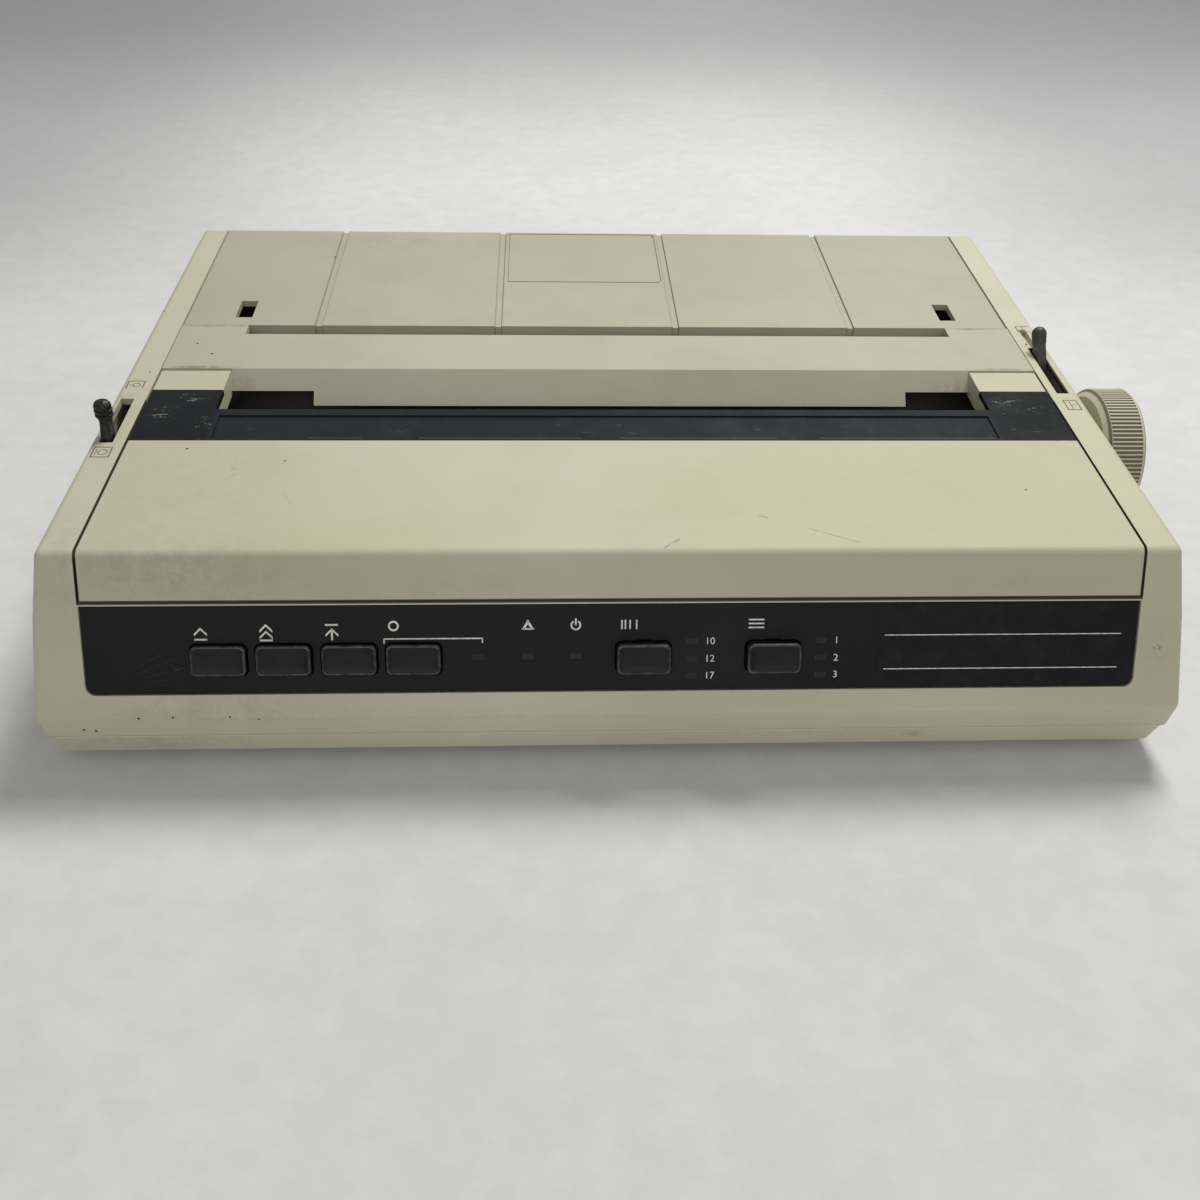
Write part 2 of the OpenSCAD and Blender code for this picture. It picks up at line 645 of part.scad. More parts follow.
module paper_bar() color(beige) placed() {
  end_left = 31;
  end_right = 25.2;
  difference() {
    union() {
      side_extrude(-tab_in, tab_in) bar_side(bar_slope, bar_fall);
      both_sides() side_extrude(tab_in, fill_half) top_band(bar_y0, sep_y0 - 1.5, 0, wall);
      // Webs that stand on the side plates
      both_sides() side_extrude(plate_in - 6, plate_out) polygon([
        [bar_y0 + 3, plate_top], [bar_y1, plate_top],
        [bar_y1, top_z(bar_y1) - wall + 0.2], [bar_y0 + 3, top_z(bar_y0 + 3) - wall + 0.2]
      ]);
    }
    side_extrude(-tab_in - eps, tab_in + eps) offset(delta = -wall) bar_side(bar_slope, bar_fall, 6);
    // The face is cut back at both ends
    cut_back(-tab_in - 1, -tab_in + end_left);
    cut_back(tab_in - end_right, tab_in + 1);
    both_sides() rod_z(plate_top - 1, plate_top + 5, [bar_screw_x, bar_y0 + 10], screw_r);
  }
}
bar_fall = 10.4;
cut_y = bar_y0 - 6.2;
cut_z = top_z(bar_y0) - 6.2 * bar_fall / bar_slope + 0.3;
module cut_back(x0, x1) side_extrude(x0, x1) polygon([
  [cut_y, far], [cut_y, cut_z], [cut_y + 18, cut_z - 12], [cut_y + 18, 0], [bar_y0 - 20, 0], [bar_y0 - 20, far]
]);
// Section of the bar: a flat top and a face that slopes down to the platen
module bar_side(run_out, fall, open = 0) polygon([
  [bar_y0, top_z(bar_y0)], [bar_y1, top_z(bar_y1)], [bar_y1, top_z(bar_y1) - 9 - open],
  [bar_y1 - 3, top_z(bar_y1) - 9 - open],
  [bar_y0 - run_out, top_z(bar_y0) - fall - open], [bar_y0 - run_out, top_z(bar_y0) - fall]
]);

module separator() color(beige) placed() {
  skirt = 5;
  difference() {
    union() {
      side_extrude(-fill_half, fill_half) top_band(sep_y0, sep_y1, separator_drop, separator_drop + wall);
      // Front face and side skirts
      side_extrude(-fill_half, fill_half) polygon([
        [sep_y0, top_z(sep_y0) - separator_drop - 1], [sep_y0 + wall, top_z(sep_y0) - separator_drop - 1],
        [sep_y0 + wall, top_z(sep_y0) - 8], [sep_y0, top_z(sep_y0) - 8]
      ]);
      both_sides() {
        side_extrude(fill_half - lip_t, fill_half)
          top_band(sep_y0, sep_y1 - 8, separator_drop + 1, separator_drop + wall + skirt);
        rod_x(fill_half - 3, bay_half + lip_t - 0.3, [sep_hinge_y, sep_hinge_z], hinge_pin_r);
      }
      for (x = [-100, -50, 0, 50, 100])
        side_extrude(x - 1, x + 1)
          top_band(sep_y0 + 1, sep_y1 - 8, separator_drop + 1, separator_drop + wall + 3);
    }
    // Grooves along the top and down the front face
    for (i = [-1.5 : 1 : 1.5]) translate([paper_x + groove_pitch * i, 0, 0]) {
      side_extrude(-groove_w / 2, groove_w / 2) top_band(sep_y0 - 1, sep_y1 + 1, -1, separator_drop + 0.7);
      block([-groove_w / 2, sep_y0 - 1, 60], [groove_w / 2, sep_y0 + 0.7, 90]);
    }
    // Moulded line round a bare field in the middle at the rear
    intersection() {
      side_extrude(-far, far) top_band(sep_y0, sep_y1, -1, separator_drop + 0.6);
      translate([paper_x, (sep_y0 + 41.4 + sep_y1 - 1.2) / 2, 0]) linear_extrude(far) difference() {
        rounded_rect(67.6, sep_y1 - sep_y0 - 42.6, 2);
        rounded_rect(66, sep_y1 - sep_y0 - 44.2, 1.2);
      }
    }
    // Latch holes
    both_sides() block([tab_in + 0.3, sep_y0 + 6.8, 60], [tab_in + 7.1, sep_y0 + 21.7, 90]);
  }
}

module chassis_base() color(steel) placed() difference() {
  block([-plate_out, plate_front, base_z], [plate_out, plate_back, base_top]);
  both_sides() for (y = post_ys) rod_z(0, 40, [post_x, y], screw_r + 0.2);
  // Openings over the circuit board
  for (x = [-100, -50, 0, 50]) block([x - 17, guide_y + 14, 0], [x + 17, guide_y + 30, 40]);
}
module side_plates() color(steel) placed() {
  difference() {
    union() both_sides() {
      side_extrude(plate_in, plate_out) polygon([
        [plate_front, base_top], [plate_front, base_top + 20], [guide_y - 14, plate_top - 14],
        [bail_y - 12, plate_top - 8], [bar_y0 + 3, plate_top], [bar_y1 + 4, plate_top],
        [plate_back, plate_top - 8], [plate_back, base_top]
      ]);
      // Feet turned in at the bottom and the seat of the paper bar at the top
      for (y = post_ys) block([post_x - 6, y - 6, base_top], [plate_in + eps, y + 6, base_top + 1.5]);
      block([plate_out - 8, bar_y0 + 5, plate_top - 1.5], [plate_in + eps, bar_y0 + 15, plate_top]);
    }
    rod_x(-far, far, [platen_y, platen_h], bush_r);
    rod_x(-far, far, [bail_y, bail_z], bail_pin_r + run);
    rod_x(-far, far, [guide_y, guide_h], guide_r + run);
    rod_x(-far, far, [release_y, release_z], release_r + run);
    rod_x(-far, far, [pivot_y, pivot_z], pivot_r + run);
    rod_x(-far, 0, idler_pos, stub_r - 0.5);
    rod_x(-far, 0, motor_pos, motor_shaft_r + 3.1);
    both_sides() {
      for (y = post_ys) rod_z(0, 40, [post_x, y], screw_r + 0.2);
      rod_z(plate_top - 4, plate_top + 4, [bar_screw_x, bar_y0 + 10], screw_r + 0.2);
    }
  }
}
bush_r = 7;
module guide_shaft() color("#c5c7c9") placed() rod_x(-plate_out - 1, plate_out + 1, [guide_y, guide_h], guide_r);
module pressure_pivot() color("#c5c7c9") placed()
  rod_x(-plate_out, plate_out, [pivot_y, pivot_z], pivot_r);
module platen_bushes() color("#d8d3c0") placed() both_sides() difference() {
  union() {
    rod_x(plate_in - 1.4, plate_out + 1, [platen_y, platen_h], bush_r);
    rod_x(plate_in - 1.4, plate_in, [platen_y, platen_h], bush_r + 1.6);
  }
  rod_x(0, far, [platen_y, platen_h], platen_shaft_r + run);
}
module idler_stub() color("#c5c7c9") placed() {
  rod_x(gear_x0 - 1, -plate_out, idler_pos, stub_r);
  rod_x(-plate_out - eps, -plate_in, idler_pos, stub_r - 0.5);
  rod_x(gear_x0 - 2, gear_x0 - 1, idler_pos, stub_r + 1.5);
}

// Outline of a gear with involute flanks, one tooth centred on the x axis
pressure_angle = 20;
function involute(rb, r) = let (a = acos(min(rb / r, 1))) tan(a) * 180 / PI - a;
function flank_half(n, r) = let (rp = gear_m * n / 2, rb = rp * cos(pressure_angle))
  90 / n - backlash / rp * 90 / PI + involute(rb, rp) - involute(rb, max(r, rb));
function tooth(n, i) = let (
  rp = gear_m * n / 2,
  ro = rp + addendum * gear_m,
  ri = rp - dedendum * gear_m,
  steps = [for (k = [0 : 4]) max(rp * cos(pressure_angle), ri) + k / 4 * (ro - max(rp * cos(pressure_angle), ri))],
  mid = i * 360 / n
) concat(
  [ri * dir(mid - flank_half(n, steps[0]) - 0.5)],
  [for (r = steps) r * dir(mid - flank_half(n, r))],
  [for (k = [4 : -1 : 0]) steps[k] * dir(mid + flank_half(n, steps[k]))],
  [ri * dir(mid + flank_half(n, steps[0]) + 0.5)]
);
module gear_outline(n, phase) rotate(phase) polygon([for (i = [0 : n - 1]) each tooth(n, i)]);
module gear_yz(n, phase, at, bore) difference() {
  translate([0, at[0], at[1]]) side_extrude(gear_x0, gear_x1) gear_outline(n, phase);
  if (bore > 0) rod_x(gear_x0 - 1, gear_x1 + 1, at, bore);
}
module platen_gear() color("#e3ddc8") placed() {
  difference() {
    gear_yz(platen_teeth, idler_dir, [platen_y, platen_h], platen_shaft_r);
    for (a = [0 : 60 : 359]) rod_x(gear_x0 - 1, gear_x1 + 1, [platen_y, platen_h] + 12.5 * dir(a), 3.2);
  }
}
module idler_gear() color("#e3ddc8") placed() difference() {
  union() {
    gear_yz(idler_teeth, idler_phase, idler_pos, 0);
    rod_x(gear_x1 - eps, -plate_out - 0.3, idler_pos, stub_r + 1.5);
  }
  rod_x(gear_x0 - 1, 0, idler_pos, stub_r + run);
  for (a = [0 : 72 : 359]) rod_x(gear_x0 - 1, -plate_out + 1, idler_pos + 11 * dir(a), 3);
}
module feed_pinion() color("#c9a94a") placed() {
  gear_yz(pinion_teeth, pinion_phase, motor_pos, 0);
  rod_x(gear_x1 - eps, -plate_in + 24, motor_pos, motor_shaft_r);
}
module feed_motor() color("#55585c") placed() difference() {
  union() {
    rod_x(-plate_in, -plate_in + 27, motor_pos, motor_r);
    rod_x(-plate_in - sheet - 0.6, -plate_in, motor_pos, motor_shaft_r + 3);
    // Mounting ears
    for (s = [-1, 1]) block([-plate_in, motor_pos[0] - 4 + s * 22, motor_pos[1] - 5], [-plate_in + 1.5, motor_pos[0] + 4 + s * 22, motor_pos[1] + 5]);
  }
  rod_x(-far, -plate_in + 24.3, motor_pos, motor_shaft_r + run);
}

module platen_sleeve() color("#1d1d1e") placed()
  tube_x(paper_x - platen_len / 2, paper_x + platen_len / 2, [platen_y, platen_h], platen_r, platen_r - 2);
module platen_core() color("#aeb0b2") placed() difference() {
  rod_x(paper_x - platen_len / 2 - 1, paper_x + platen_len / 2 + 1, [platen_y, platen_h], platen_r - 2);
  rod_x(-far, far, [platen_y, platen_h], platen_shaft_r);
  for (s = [-1, 1]) rod_x(paper_x + s * platen_len / 2 - 12, paper_x + s * platen_len / 2 + 12, [platen_y, platen_h], platen_r - 4);
}
module platen_shaft() color("#c5c7c9") placed()
  rod_x(gear_x0 - 2, knob_out - 4, [platen_y, platen_h], platen_shaft_r);
module platen_knob() color("#b3af96") placed() translate([0, platen_y, platen_h]) difference() {
  flange = 2.2;
  rim = 1.4;
  rib_h = 0.45;
  union() {
    rotate([0, 90, 0]) rotate_extrude($fn = 96) polygon([
      [0, knob_in], [knob_r - knob_cone, knob_in], [knob_r, knob_in + flange],
      [knob_r - rib_h, knob_in + flange], [knob_r - rib_h, knob_out - rim],
      [knob_r, knob_out - rim], [knob_r, knob_out - 0.8], [knob_r - 0.8, knob_out],
      [knob_r - 5, knob_out], [knob_r - 6.5, knob_out - 1.2], [0, knob_out - 1.2]
    ]);
    side_extrude(knob_in + flange - eps, knob_out - rim + eps) polygon([
      for (i = [0 : knob_ribs - 1], k = [0 : 3])
        (k == 0 || k == 3 ? knob_r - rib_h - 0.1 : knob_r - 0.05) * dir((i + [0, 0.12, 0.42, 0.54][k]) * 360 / knob_ribs)
    ]);
  }
  rod_x(knob_in - 1, knob_out - 4, [0, 0], platen_shaft_r);
}

// Bent sheet round the platen with a straight run up to the entry slot
module paper_chute() color(steel) placed() {
  mouth = [sep_y0 + 0.8, top_z(sep_y0) - 9];
  reach = mouth - [platen_y, platen_h];
  tangent = atan2(reach[1], reach[0]) - acos(chute_in / norm(reach));
  arc_in = [for (a = [tangent : -5 : -155]) [platen_y, platen_h] + chute_in * dir(a)];
  arc_out = [for (a = [tangent : -5 : -155]) [platen_y, platen_h] + (chute_in + chute_t) * dir(a)];
  back = chute_t * dir(tangent);
  difference() {
    union() {
      side_extrude(paper_x - platen_len / 2, paper_x + platen_len / 2) polygon(concat(
        [mouth], arc_in, [for (i = [len(arc_out) - 1 : -1 : 0]) arc_out[i]], [mouth + back]
      ));
      // Ears that carry the sheet between the side plates
      both_sides() side_extrude(platen_len / 2 - 25, plate_in) polygon([
        for (p = [[1, 0.1], [1, 0.9], [30, 0.9], [30, 0.1]])
          mouth - p[0] * unit_to(mouth, arc_in[0]) + p[1] * back
      ]);
    }
    for (at = [front_nip, rear_nip], k = [-1 : 1])
      rod_x(paper_x + pressure_pitch * k - 14, paper_x + pressure_pitch * k + 14, at, pressure_r + 1.4);
  }
}
function unit_to(a, b) = (a - b) / norm(a - b);

module pressure_frame() color("#8d9093") placed() {
  boss = 2.8;
  difference() {
    union() {
      for (s = [-1, 1]) side_extrude(paper_x + s * frame_half - 1, paper_x + s * frame_half + 1) {
        polygon([
          front_nip + [-boss, 0], front_nip + [-boss + 0.6, -9], [pivot_y, pivot_z - 4.5],
          [pivot_y + 4.5, pivot_z], [pivot_y, pivot_z + 4.5], rear_nip + [boss + 1, 0], rear_nip + [0, boss],
          rear_nip + [-boss - 1, -3], front_nip + [boss + 1, -3], front_nip + [0, boss]
        ]);
      }
      block([paper_x - frame_half, front_nip[0] - 2, front_nip[1] - pressure_r - 3],
            [paper_x + frame_half, rear_nip[0] + 5, front_nip[1] - pressure_r - 1.4]);
      for (at = [front_nip, rear_nip])
        rod_x(paper_x - frame_half - 2, paper_x + frame_half + 2, at, pressure_pin_r);
    }
    rod_x(-far, far, [pivot_y, pivot_z], pivot_r + run);
  }
}
module pressure_row(at) color("#232324") placed() for (k = [-1 : 1])
  tube_x(paper_x + pressure_pitch * k - 12, paper_x + pressure_pitch * k + 12, at, pressure_r, pressure_pin_r + run);
module front_pressure_rollers() pressure_row(front_nip);
module rear_pressure_rollers() pressure_row(rear_nip);

// Levers: a flat arm from its pivot up through the rail to a rounded tip
module lever_side(pivot, neck, tip, neck_w, tip_r) {
  hull() {
    translate(pivot) circle(r = 5.5, $fn = 32);
    translate(neck) circle(r = neck_w, $fn = 24);
  }
  hull() {
    translate(neck) circle(r = neck_w, $fn = 24);
    translate(tip) circle(r = tip_r, $fn = 24);
  }
}
module bail_lever() color(black_moulding) placed() {
  rest_y = bail_y - 1.2;
  tip = [rest_y + 2.2, top_z(bail_y) + 10];
  difference() {
    union() {
      side_extrude(-lever_x - lever_t / 2, -lever_x + lever_t / 2)
        lever_side([bail_y, bail_z], [rest_y, top_z(bail_y)], tip - [0.4, 3], 2.6, 1.5);
      // Ribbed grip and the neck below it
      translate([-lever_x - 0.2, tip[0] - 0.3, tip[1]]) rotate_extrude($fn = 36) polygon([
        [0, -8.6], [1.9, -8.6], [2.12, -5.2], [2.65, -2.7], [3.1, -2.5], [3.1, -1.8], [2.65, -1.6], [2.65, -1],
        [3.1, -0.8], [3.1, -0.1], [2.65, 0.1], [2.65, 0.7], [3, 0.9], [2.9, 1.7], [2.3, 2.6], [1.2, 3.2], [0, 3.2]
      ]);
      rod_x(-lever_x, -plate_out - 1, [bail_y, bail_z], bail_pin_r + 2);
    }
    rod_x(-lever_x - 0.5, 0, [bail_y, bail_z], bail_pin_r);
  }
}
module bail_arms() color(steel) placed() {
  for (s = [-1, 1]) {
    x_in = s * (plate_in - 3);
    side_extrude(min(x_in, x_in + s * 2), max(x_in, x_in + s * 2)) hull() {
      translate([bail_y, bail_z]) circle(r = 5.5, $fn = 32);
      translate(bail_pos) circle(r = bail_bar_r + 0.6, $fn = 32);
    }
  }
  rod_x(-lever_x - 0.5, -plate_in + 1.5, [bail_y, bail_z], bail_pin_r);
  rod_x(plate_in - 1.5, plate_out + 2, [bail_y, bail_z], bail_pin_r);
}
module bail_bar() color("#c5c7c9") placed() rod_x(-plate_in + 3, plate_in - 3, bail_pos, bail_bar_r);
module bail_rollers() color("#1d1d1e") placed() for (k = [-1.5 : 1 : 1.5])
  tube_x(paper_x + bail_pitch * k - 6, paper_x + bail_pitch * k + 6, bail_pos, bail_roller_r, bail_bar_r + run);

module release_lever() color("#3c3e41") placed() {
  neck = [release_y, release_z] + 37.6 * dir(77.5);
  tip = neck + 11.5 * dir(52);
  lever_in = lever_x - 3;
  difference() {
    union() {
      side_extrude(lever_in, lever_in + lever_t) lever_side([release_y, release_z], neck, tip, 3, 2);
      translate([lever_in + lever_t / 2, tip[0], tip[1]]) hull() {
        sphere(r = 2.9, $fn = 28);
        translate([0, -2, -2.6]) sphere(r = 2.7, $fn = 28);
      }
      rod_x(plate_out + 1, lever_in + eps, [release_y, release_z], release_r + 1.8);
    }
    rod_x(0, lever_in + lever_t - 1, [release_y, release_z], release_r);
  }
}
module release_shaft() color("#c5c7c9") placed() {
  rod_x(-plate_out, lever_x - 3 + lever_t - 1, [release_y, release_z], release_r);
  for (s = [-1, 1]) side_extrude(paper_x + s * frame_half - 3, paper_x + s * frame_half + 3) hull() {
    translate([release_y, release_z]) circle(r = 4.4, $fn = 32);
    translate([release_y, release_z] + 4.2 * dir(-144)) circle(r = 2.2, $fn = 32);
  }
}

module spacing_rack() color("#c9c4b0") placed() {
  x_mid = space_x;
  half = rack_count * rack_pitch;
  foot_w = 8;
  tip_half = rack_pitch / 4 - backlash / 2 - addendum * gear_m * tan(pressure_angle);
  root_half = rack_pitch / 4 - backlash / 2 + dedendum * gear_m * tan(pressure_angle);
  front_extrude(rack_y0, rack_y1) polygon(concat(
    [[x_mid - half - rack_pitch, rack_line_z - rack_depth], [x_mid - half - rack_pitch, rack_line_z - dedendum * gear_m]],
    [for (i = [-rack_count : rack_count], k = [0 : 3])
      [x_mid + i * rack_pitch + [-root_half, -tip_half, tip_half, root_half][k],
       rack_line_z + (k == 0 || k == 3 ? -dedendum : addendum) * gear_m]],
    [[x_mid + half + rack_pitch, rack_line_z - dedendum * gear_m], [x_mid + half + rack_pitch, rack_line_z - rack_depth]]
  ));
  // Plain rail in front of the teeth, and its feet
  block([-plate_in, rack_y0 - 4, rack_line_z - rack_depth], [plate_in, rack_y0 + eps, rack_line_z - 1]);
  for (x = [-1, 0, 1] * (plate_in - 36)) block([x - foot_w, rack_y0 - 4, base_top], [x + foot_w, rack_y1, rack_line_z - rack_depth + eps]);
}
module spacing_pinion() color("#c9a94a") placed() {
  phase = -90 + 180 / space_teeth;
  front_extrude(rack_y0, rack_y1) translate([space_x, space_z]) gear_outline(space_teeth, phase);
  rod_y(rack_y1 - eps, rack_y1 + 18, [space_x, space_z], motor_shaft_r);
}
module spacing_motor() color("#55585c") placed() difference() {
  rod_y(rack_y1 + 3, rack_y1 + 22, [space_x, space_z], 13);
  rod_y(rack_y1 + 1, rack_y1 + 18.3, [space_x, space_z], motor_shaft_r + run);
}
module carriage() color("#3a3b3d") placed() translate([paper_x, 0, 0]) difference() {
  union() {
    // Bearing block on the guide shaft
    block([-42, guide_y - 8, guide_h - 8], [42, guide_y + 8, guide_h + 8]);
    // Cross bar that holds the head's flange
    block([-26, head_flange_y, guide_h + 4], [26, head_flange_y + 4, cartridge_z + 6]);
    both_sides() block([cheek_in, cartridge_y0 + 10, guide_h + 1], [cheek_out, head_flange_y + eps, cartridge_z]);
    block([-cheek_out, cartridge_y0 + 10, guide_h - 1], [cheek_out, guide_y - 7, guide_h + 2]);
    // Face plate of the spacing motor and the shoe on the plain rail
    block([-43, rack_y1 + 1, guide_h - 8], [-13, rack_y1 + 3, guide_h + 17]);
    block([-cheek_out, rack_y1 + 1, guide_h - 1], [-12, rack_y1 + 8, guide_h + 2]);
    block([18, rack_y0 - 4, rack_line_z - 0.7], [36, rack_y0 - 0.6, guide_h + 2]);
    block([18, rack_y0 - 4, guide_h - 1], [36, guide_y - 7, guide_h + 2]);
  }
  rod_x(-far, far, [guide_y, guide_h], guide_r + run);
  rod_y(rack_y1, rack_y1 + 22.5, [space_x - paper_x, space_z], 13.1);
  rod_y(rack_y1 - 1, rack_y1 + 22, [0, platen_h], head_r + 0.3);
  rod_y(rack_y1 + 21, head_flange_y, [0, platen_h], head_r - 3.7);
  block([-13, head_flange_y - 1, platen_h - 9], [13, head_flange_y + 9, far]);
}
module print_head() color("#222325") placed() translate([paper_x, 0, 0]) {
  back = cartridge_y0 + 10;
  flange_y = head_flange_y - 3;
  rod_y(back, flange_y, [0, platen_h], head_r - 4);
  for (i = [0 : 4]) rod_y(back + 1 + 3.6 * i, back + 3 + 3.6 * i, [0, platen_h], head_r);
  block([-18, flange_y - eps, guide_h + 8.3], [18, head_flange_y, platen_h + 8.5]);
  // Nose that tapers to the pins
  hull() {
    block([-12, head_flange_y - 1, platen_h - 8], [12, head_flange_y + 1, platen_h + 7.5]);
    block([-4.5, head_nose_y - 2, platen_h - 4.5], [4.5, head_nose_y, platen_h + 4.5]);
  }
}
module ribbon_cartridge() color("#2a2b2e") placed() translate([paper_x, 0, 0]) difference() {
  half = cartridge_w / 2;
  union() {
    translate([0, 0, cartridge_z]) linear_extrude(cartridge_top - cartridge_z) difference() {
      translate([0, (cartridge_y0 + cartridge_y1) / 2]) rounded_rect(cartridge_w, cartridge_y1 - cartridge_y0, 4);
      translate([-cheek_in, cartridge_y0 + 7]) square([2 * cheek_in, far]);
    }
    // Arms that lead the ribbon to both sides of the nose
    both_sides() translate([0, 0, platen_h - ribbon_h / 2]) linear_extrude(ribbon_h) {
      polygon([
        [half - 9, cartridge_y1 - 6], [half - 3, cartridge_y1 - 6], [half - 9, cartridge_y1 + 12],
        [16, ribbon_y - 3], [13, ribbon_y - 3], [13.5, ribbon_y - 5.5], [half - 15, cartridge_y1 + 10]
      ]);
    }
    both_sides() block([half - 9, cartridge_y1 - 6, platen_h - ribbon_h / 2], [half - 4, cartridge_y1 - 2, cartridge_z + 1]);
  }
  rod_z(cartridge_z + 2, far, [knob_stem_x, knob_stem_y], 3 + run);
}
module ribbon() color("#101012") placed() translate([paper_x, 0, platen_h - ribbon_h / 2 + 0.5])
  linear_extrude(ribbon_h - 1) difference() {
    polygon([[-13, ribbon_y - 3], [-6, ribbon_y], [6, ribbon_y], [13, ribbon_y - 3]]);
    polygon([[-13.4, ribbon_y - 3 - ribbon_t], [-6, ribbon_y - ribbon_t], [6, ribbon_y - ribbon_t], [13.4, ribbon_y - 3 - ribbon_t]]);
  }
module ribbon_knob() color("#4a6fa5") placed() translate([paper_x + knob_stem_x, knob_stem_y, 0]) difference() {
  union() {
    rod_z(cartridge_z + 4, cartridge_top + 0.5, [0, 0], 3);
    rod_z(cartridge_top + 0.3, cartridge_top + 3.8, [0, 0], 9);
  }
  for (a = [0 : 30 : 359]) rod_z(0, far, 9.6 * dir(a), 1.2);
}

module main_board() color("#3b6b45") placed() block([board_x0, board_y0, board_z], [board_x1, board_y1, board_z + board_t]);
module board_parts() color("#1f2022") placed() {
  top = board_z + board_t;
  chip_pitch = 40;
  chip = [30, 13, 3.4];
  sink_y = plate_back + 13.5;
  for (x = [board_x0 + 22 : chip_pitch : board_x1 - 8 - chip[0]], y = [55, 83])
    translate([x, board_y0 + y, top]) cube(chip);
  // Capacitors, the heat sink with its transistors and a wire header
  for (x = [18, 40, 62]) rod_z(top, top + 26, [board_x1 - x, board_y1 - 20], 8);
  block([board_x1 - 54, sink_y, top], [board_x1 - 6, sink_y + 3, top + 32]);
  for (x = [20, 34, 48]) block([board_x1 - x, sink_y + 3 - eps, top + 4], [board_x1 - x + 10, sink_y + 7, top + 20]);
  block([board_x0 + 12, plate_back + 5.5, top], [board_x0 + 52, plate_back + 15.5, top + 9]);
}
module transformer() color("#6b6258") placed() {
  y0 = plate_back + 4;
  y1 = rear_y(socket_z + 12) - inlet_depth - 4.6;
  core = (y1 - y0) * 0.23;
  floor_z = belly_h + wall;
  // Foot plate, iron core and winding
  block([transformer_x - 34, y0, floor_z], [transformer_x + 26, y1, floor_z + 5]);
  block([transformer_x - 30, y0 + core, floor_z + 5 - eps], [transformer_x + 22, y1 - core, floor_z + 50]);
  block([transformer_x - 18, y0 + 1, floor_z + 13], [transformer_x + 10, y1 - 1, floor_z + 42]);
}
module power_inlet() color("#1b1b1c") placed() difference() {
  wall_y = rear_y(socket_z + 12);
  union() {
    front_extrude(wall_y - inlet_depth, case_d / 2) translate([inlet_x, socket_z])
      square(inlet_size - [0.6, 0.6], center = true);
  }
  front_extrude(wall_y - 14, far) translate([inlet_x, socket_z]) square([22.5, 15.5], center = true);
}
module switch_housing() color("#1b1b1c") placed() difference() {
  wall_y = rear_y(socket_z + 12);
  front_extrude(wall_y - 18, case_d / 2) translate([switch_x, socket_z])
    square(switch_size - [0.6, 0.6], center = true);
  front_extrude(wall_y - 12, far) translate([switch_x, socket_z]) square(switch_size - [3.6, 3.6], center = true);
}
rocker_y = rear_y(socket_z + 12) - 3;
module power_rocker() color("#101011") placed() {
  half = switch_size[1] / 2 - 2.4;
  x_half = switch_size[0] / 2 - 2.1;
  side_extrude(switch_x - x_half, switch_x + x_half) polygon([
    [rocker_y - 3, socket_z - 3], [rocker_y + 1.2, socket_z - half], [rocker_y + 3.4, socket_z - half],
    [rocker_y + 2.2, socket_z], [rocker_y + 3.4, socket_z + half], [rocker_y + 1.2, socket_z + half],
    [rocker_y - 3, socket_z + 3]
  ]);
  rod_x(switch_x - switch_size[0] / 2 + 1.85, switch_x + switch_size[0] / 2 - 1.85, [rocker_y, socket_z], 1.5);
}
module parallel_connector() color("#8f9295") placed() {
  y1 = rear_y(port_z);
  difference() {
    front_extrude(y1 - 26, y1 + 1) translate([port_x, port_z]) square(port_size, center = true);
    front_extrude(y1 - 8, far) translate([port_x, port_z]) difference() {
      square([52, 9.5], center = true);
      square([46, 3.4], center = true);
    }
  }
  block([port_x - 20, y1 - 24, board_z + board_t], [port_x + 20, y1 - 16, port_z - port_size[1] / 2 + eps]);
}

module screw(len, head_r) {
  translate([0, 0, -eps]) cylinder(r = screw_r - 0.02, h = len + eps);
  translate([0, 0, -1.8]) cylinder(r = head_r, h = 1.8);
}
module case_screws() color("#77797b") placed() both_sides() for (y = [stud_y0, stud_y1])
  translate([stud_x, y, belly_h + 2.5]) screw(24, 2.8);
module chassis_screws() color("#77797b") placed() {
  both_sides() {
    for (y = post_ys) translate([post_x, y, base_top + 1.5]) rotate([180, 0, 0]) screw(8, 2.8);
    translate([bar_screw_x, bar_y0 + 10, plate_top - 1.5]) screw(5, 2.4);
  }
}

lower_case();
feet();
upper_case();
operation_panel();
panel_lamps();
panel_board();
paper_bar();
chassis_base();
side_plates();
guide_shaft();
spacing_rack();
paper_chute();
pressure_pivot();
platen_bushes();
idler_stub();
feed_motor();
main_board();
board_parts();
transformer();
power_inlet();
switch_housing();
parallel_connector();
case_screws();
chassis_screws();
access_cover();
cover_window();
separator();
bail_lever();
bail_arms();
bail_bar();
bail_rollers();
release_lever();
release_shaft();
pressure_frame();
front_pressure_rollers();
rear_pressure_rollers();
platen_sleeve();
platen_core();
platen_shaft();
platen_gear();
platen_knob();
idler_gear();
feed_pinion();
carriage();
print_head();
spacing_motor();
spacing_pinion();
ribbon_cartridge();
ribbon();
ribbon_knob();
line_feed_key();
form_feed_key();
top_set_key();
select_key();
pitch_key();
mode_key();
power_rocker();
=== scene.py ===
"""Looks of a desktop dot matrix printer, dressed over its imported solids."""
from math import cos, radians, sin, tan

import bmesh
import bpy
from mathutils import Matrix, Vector


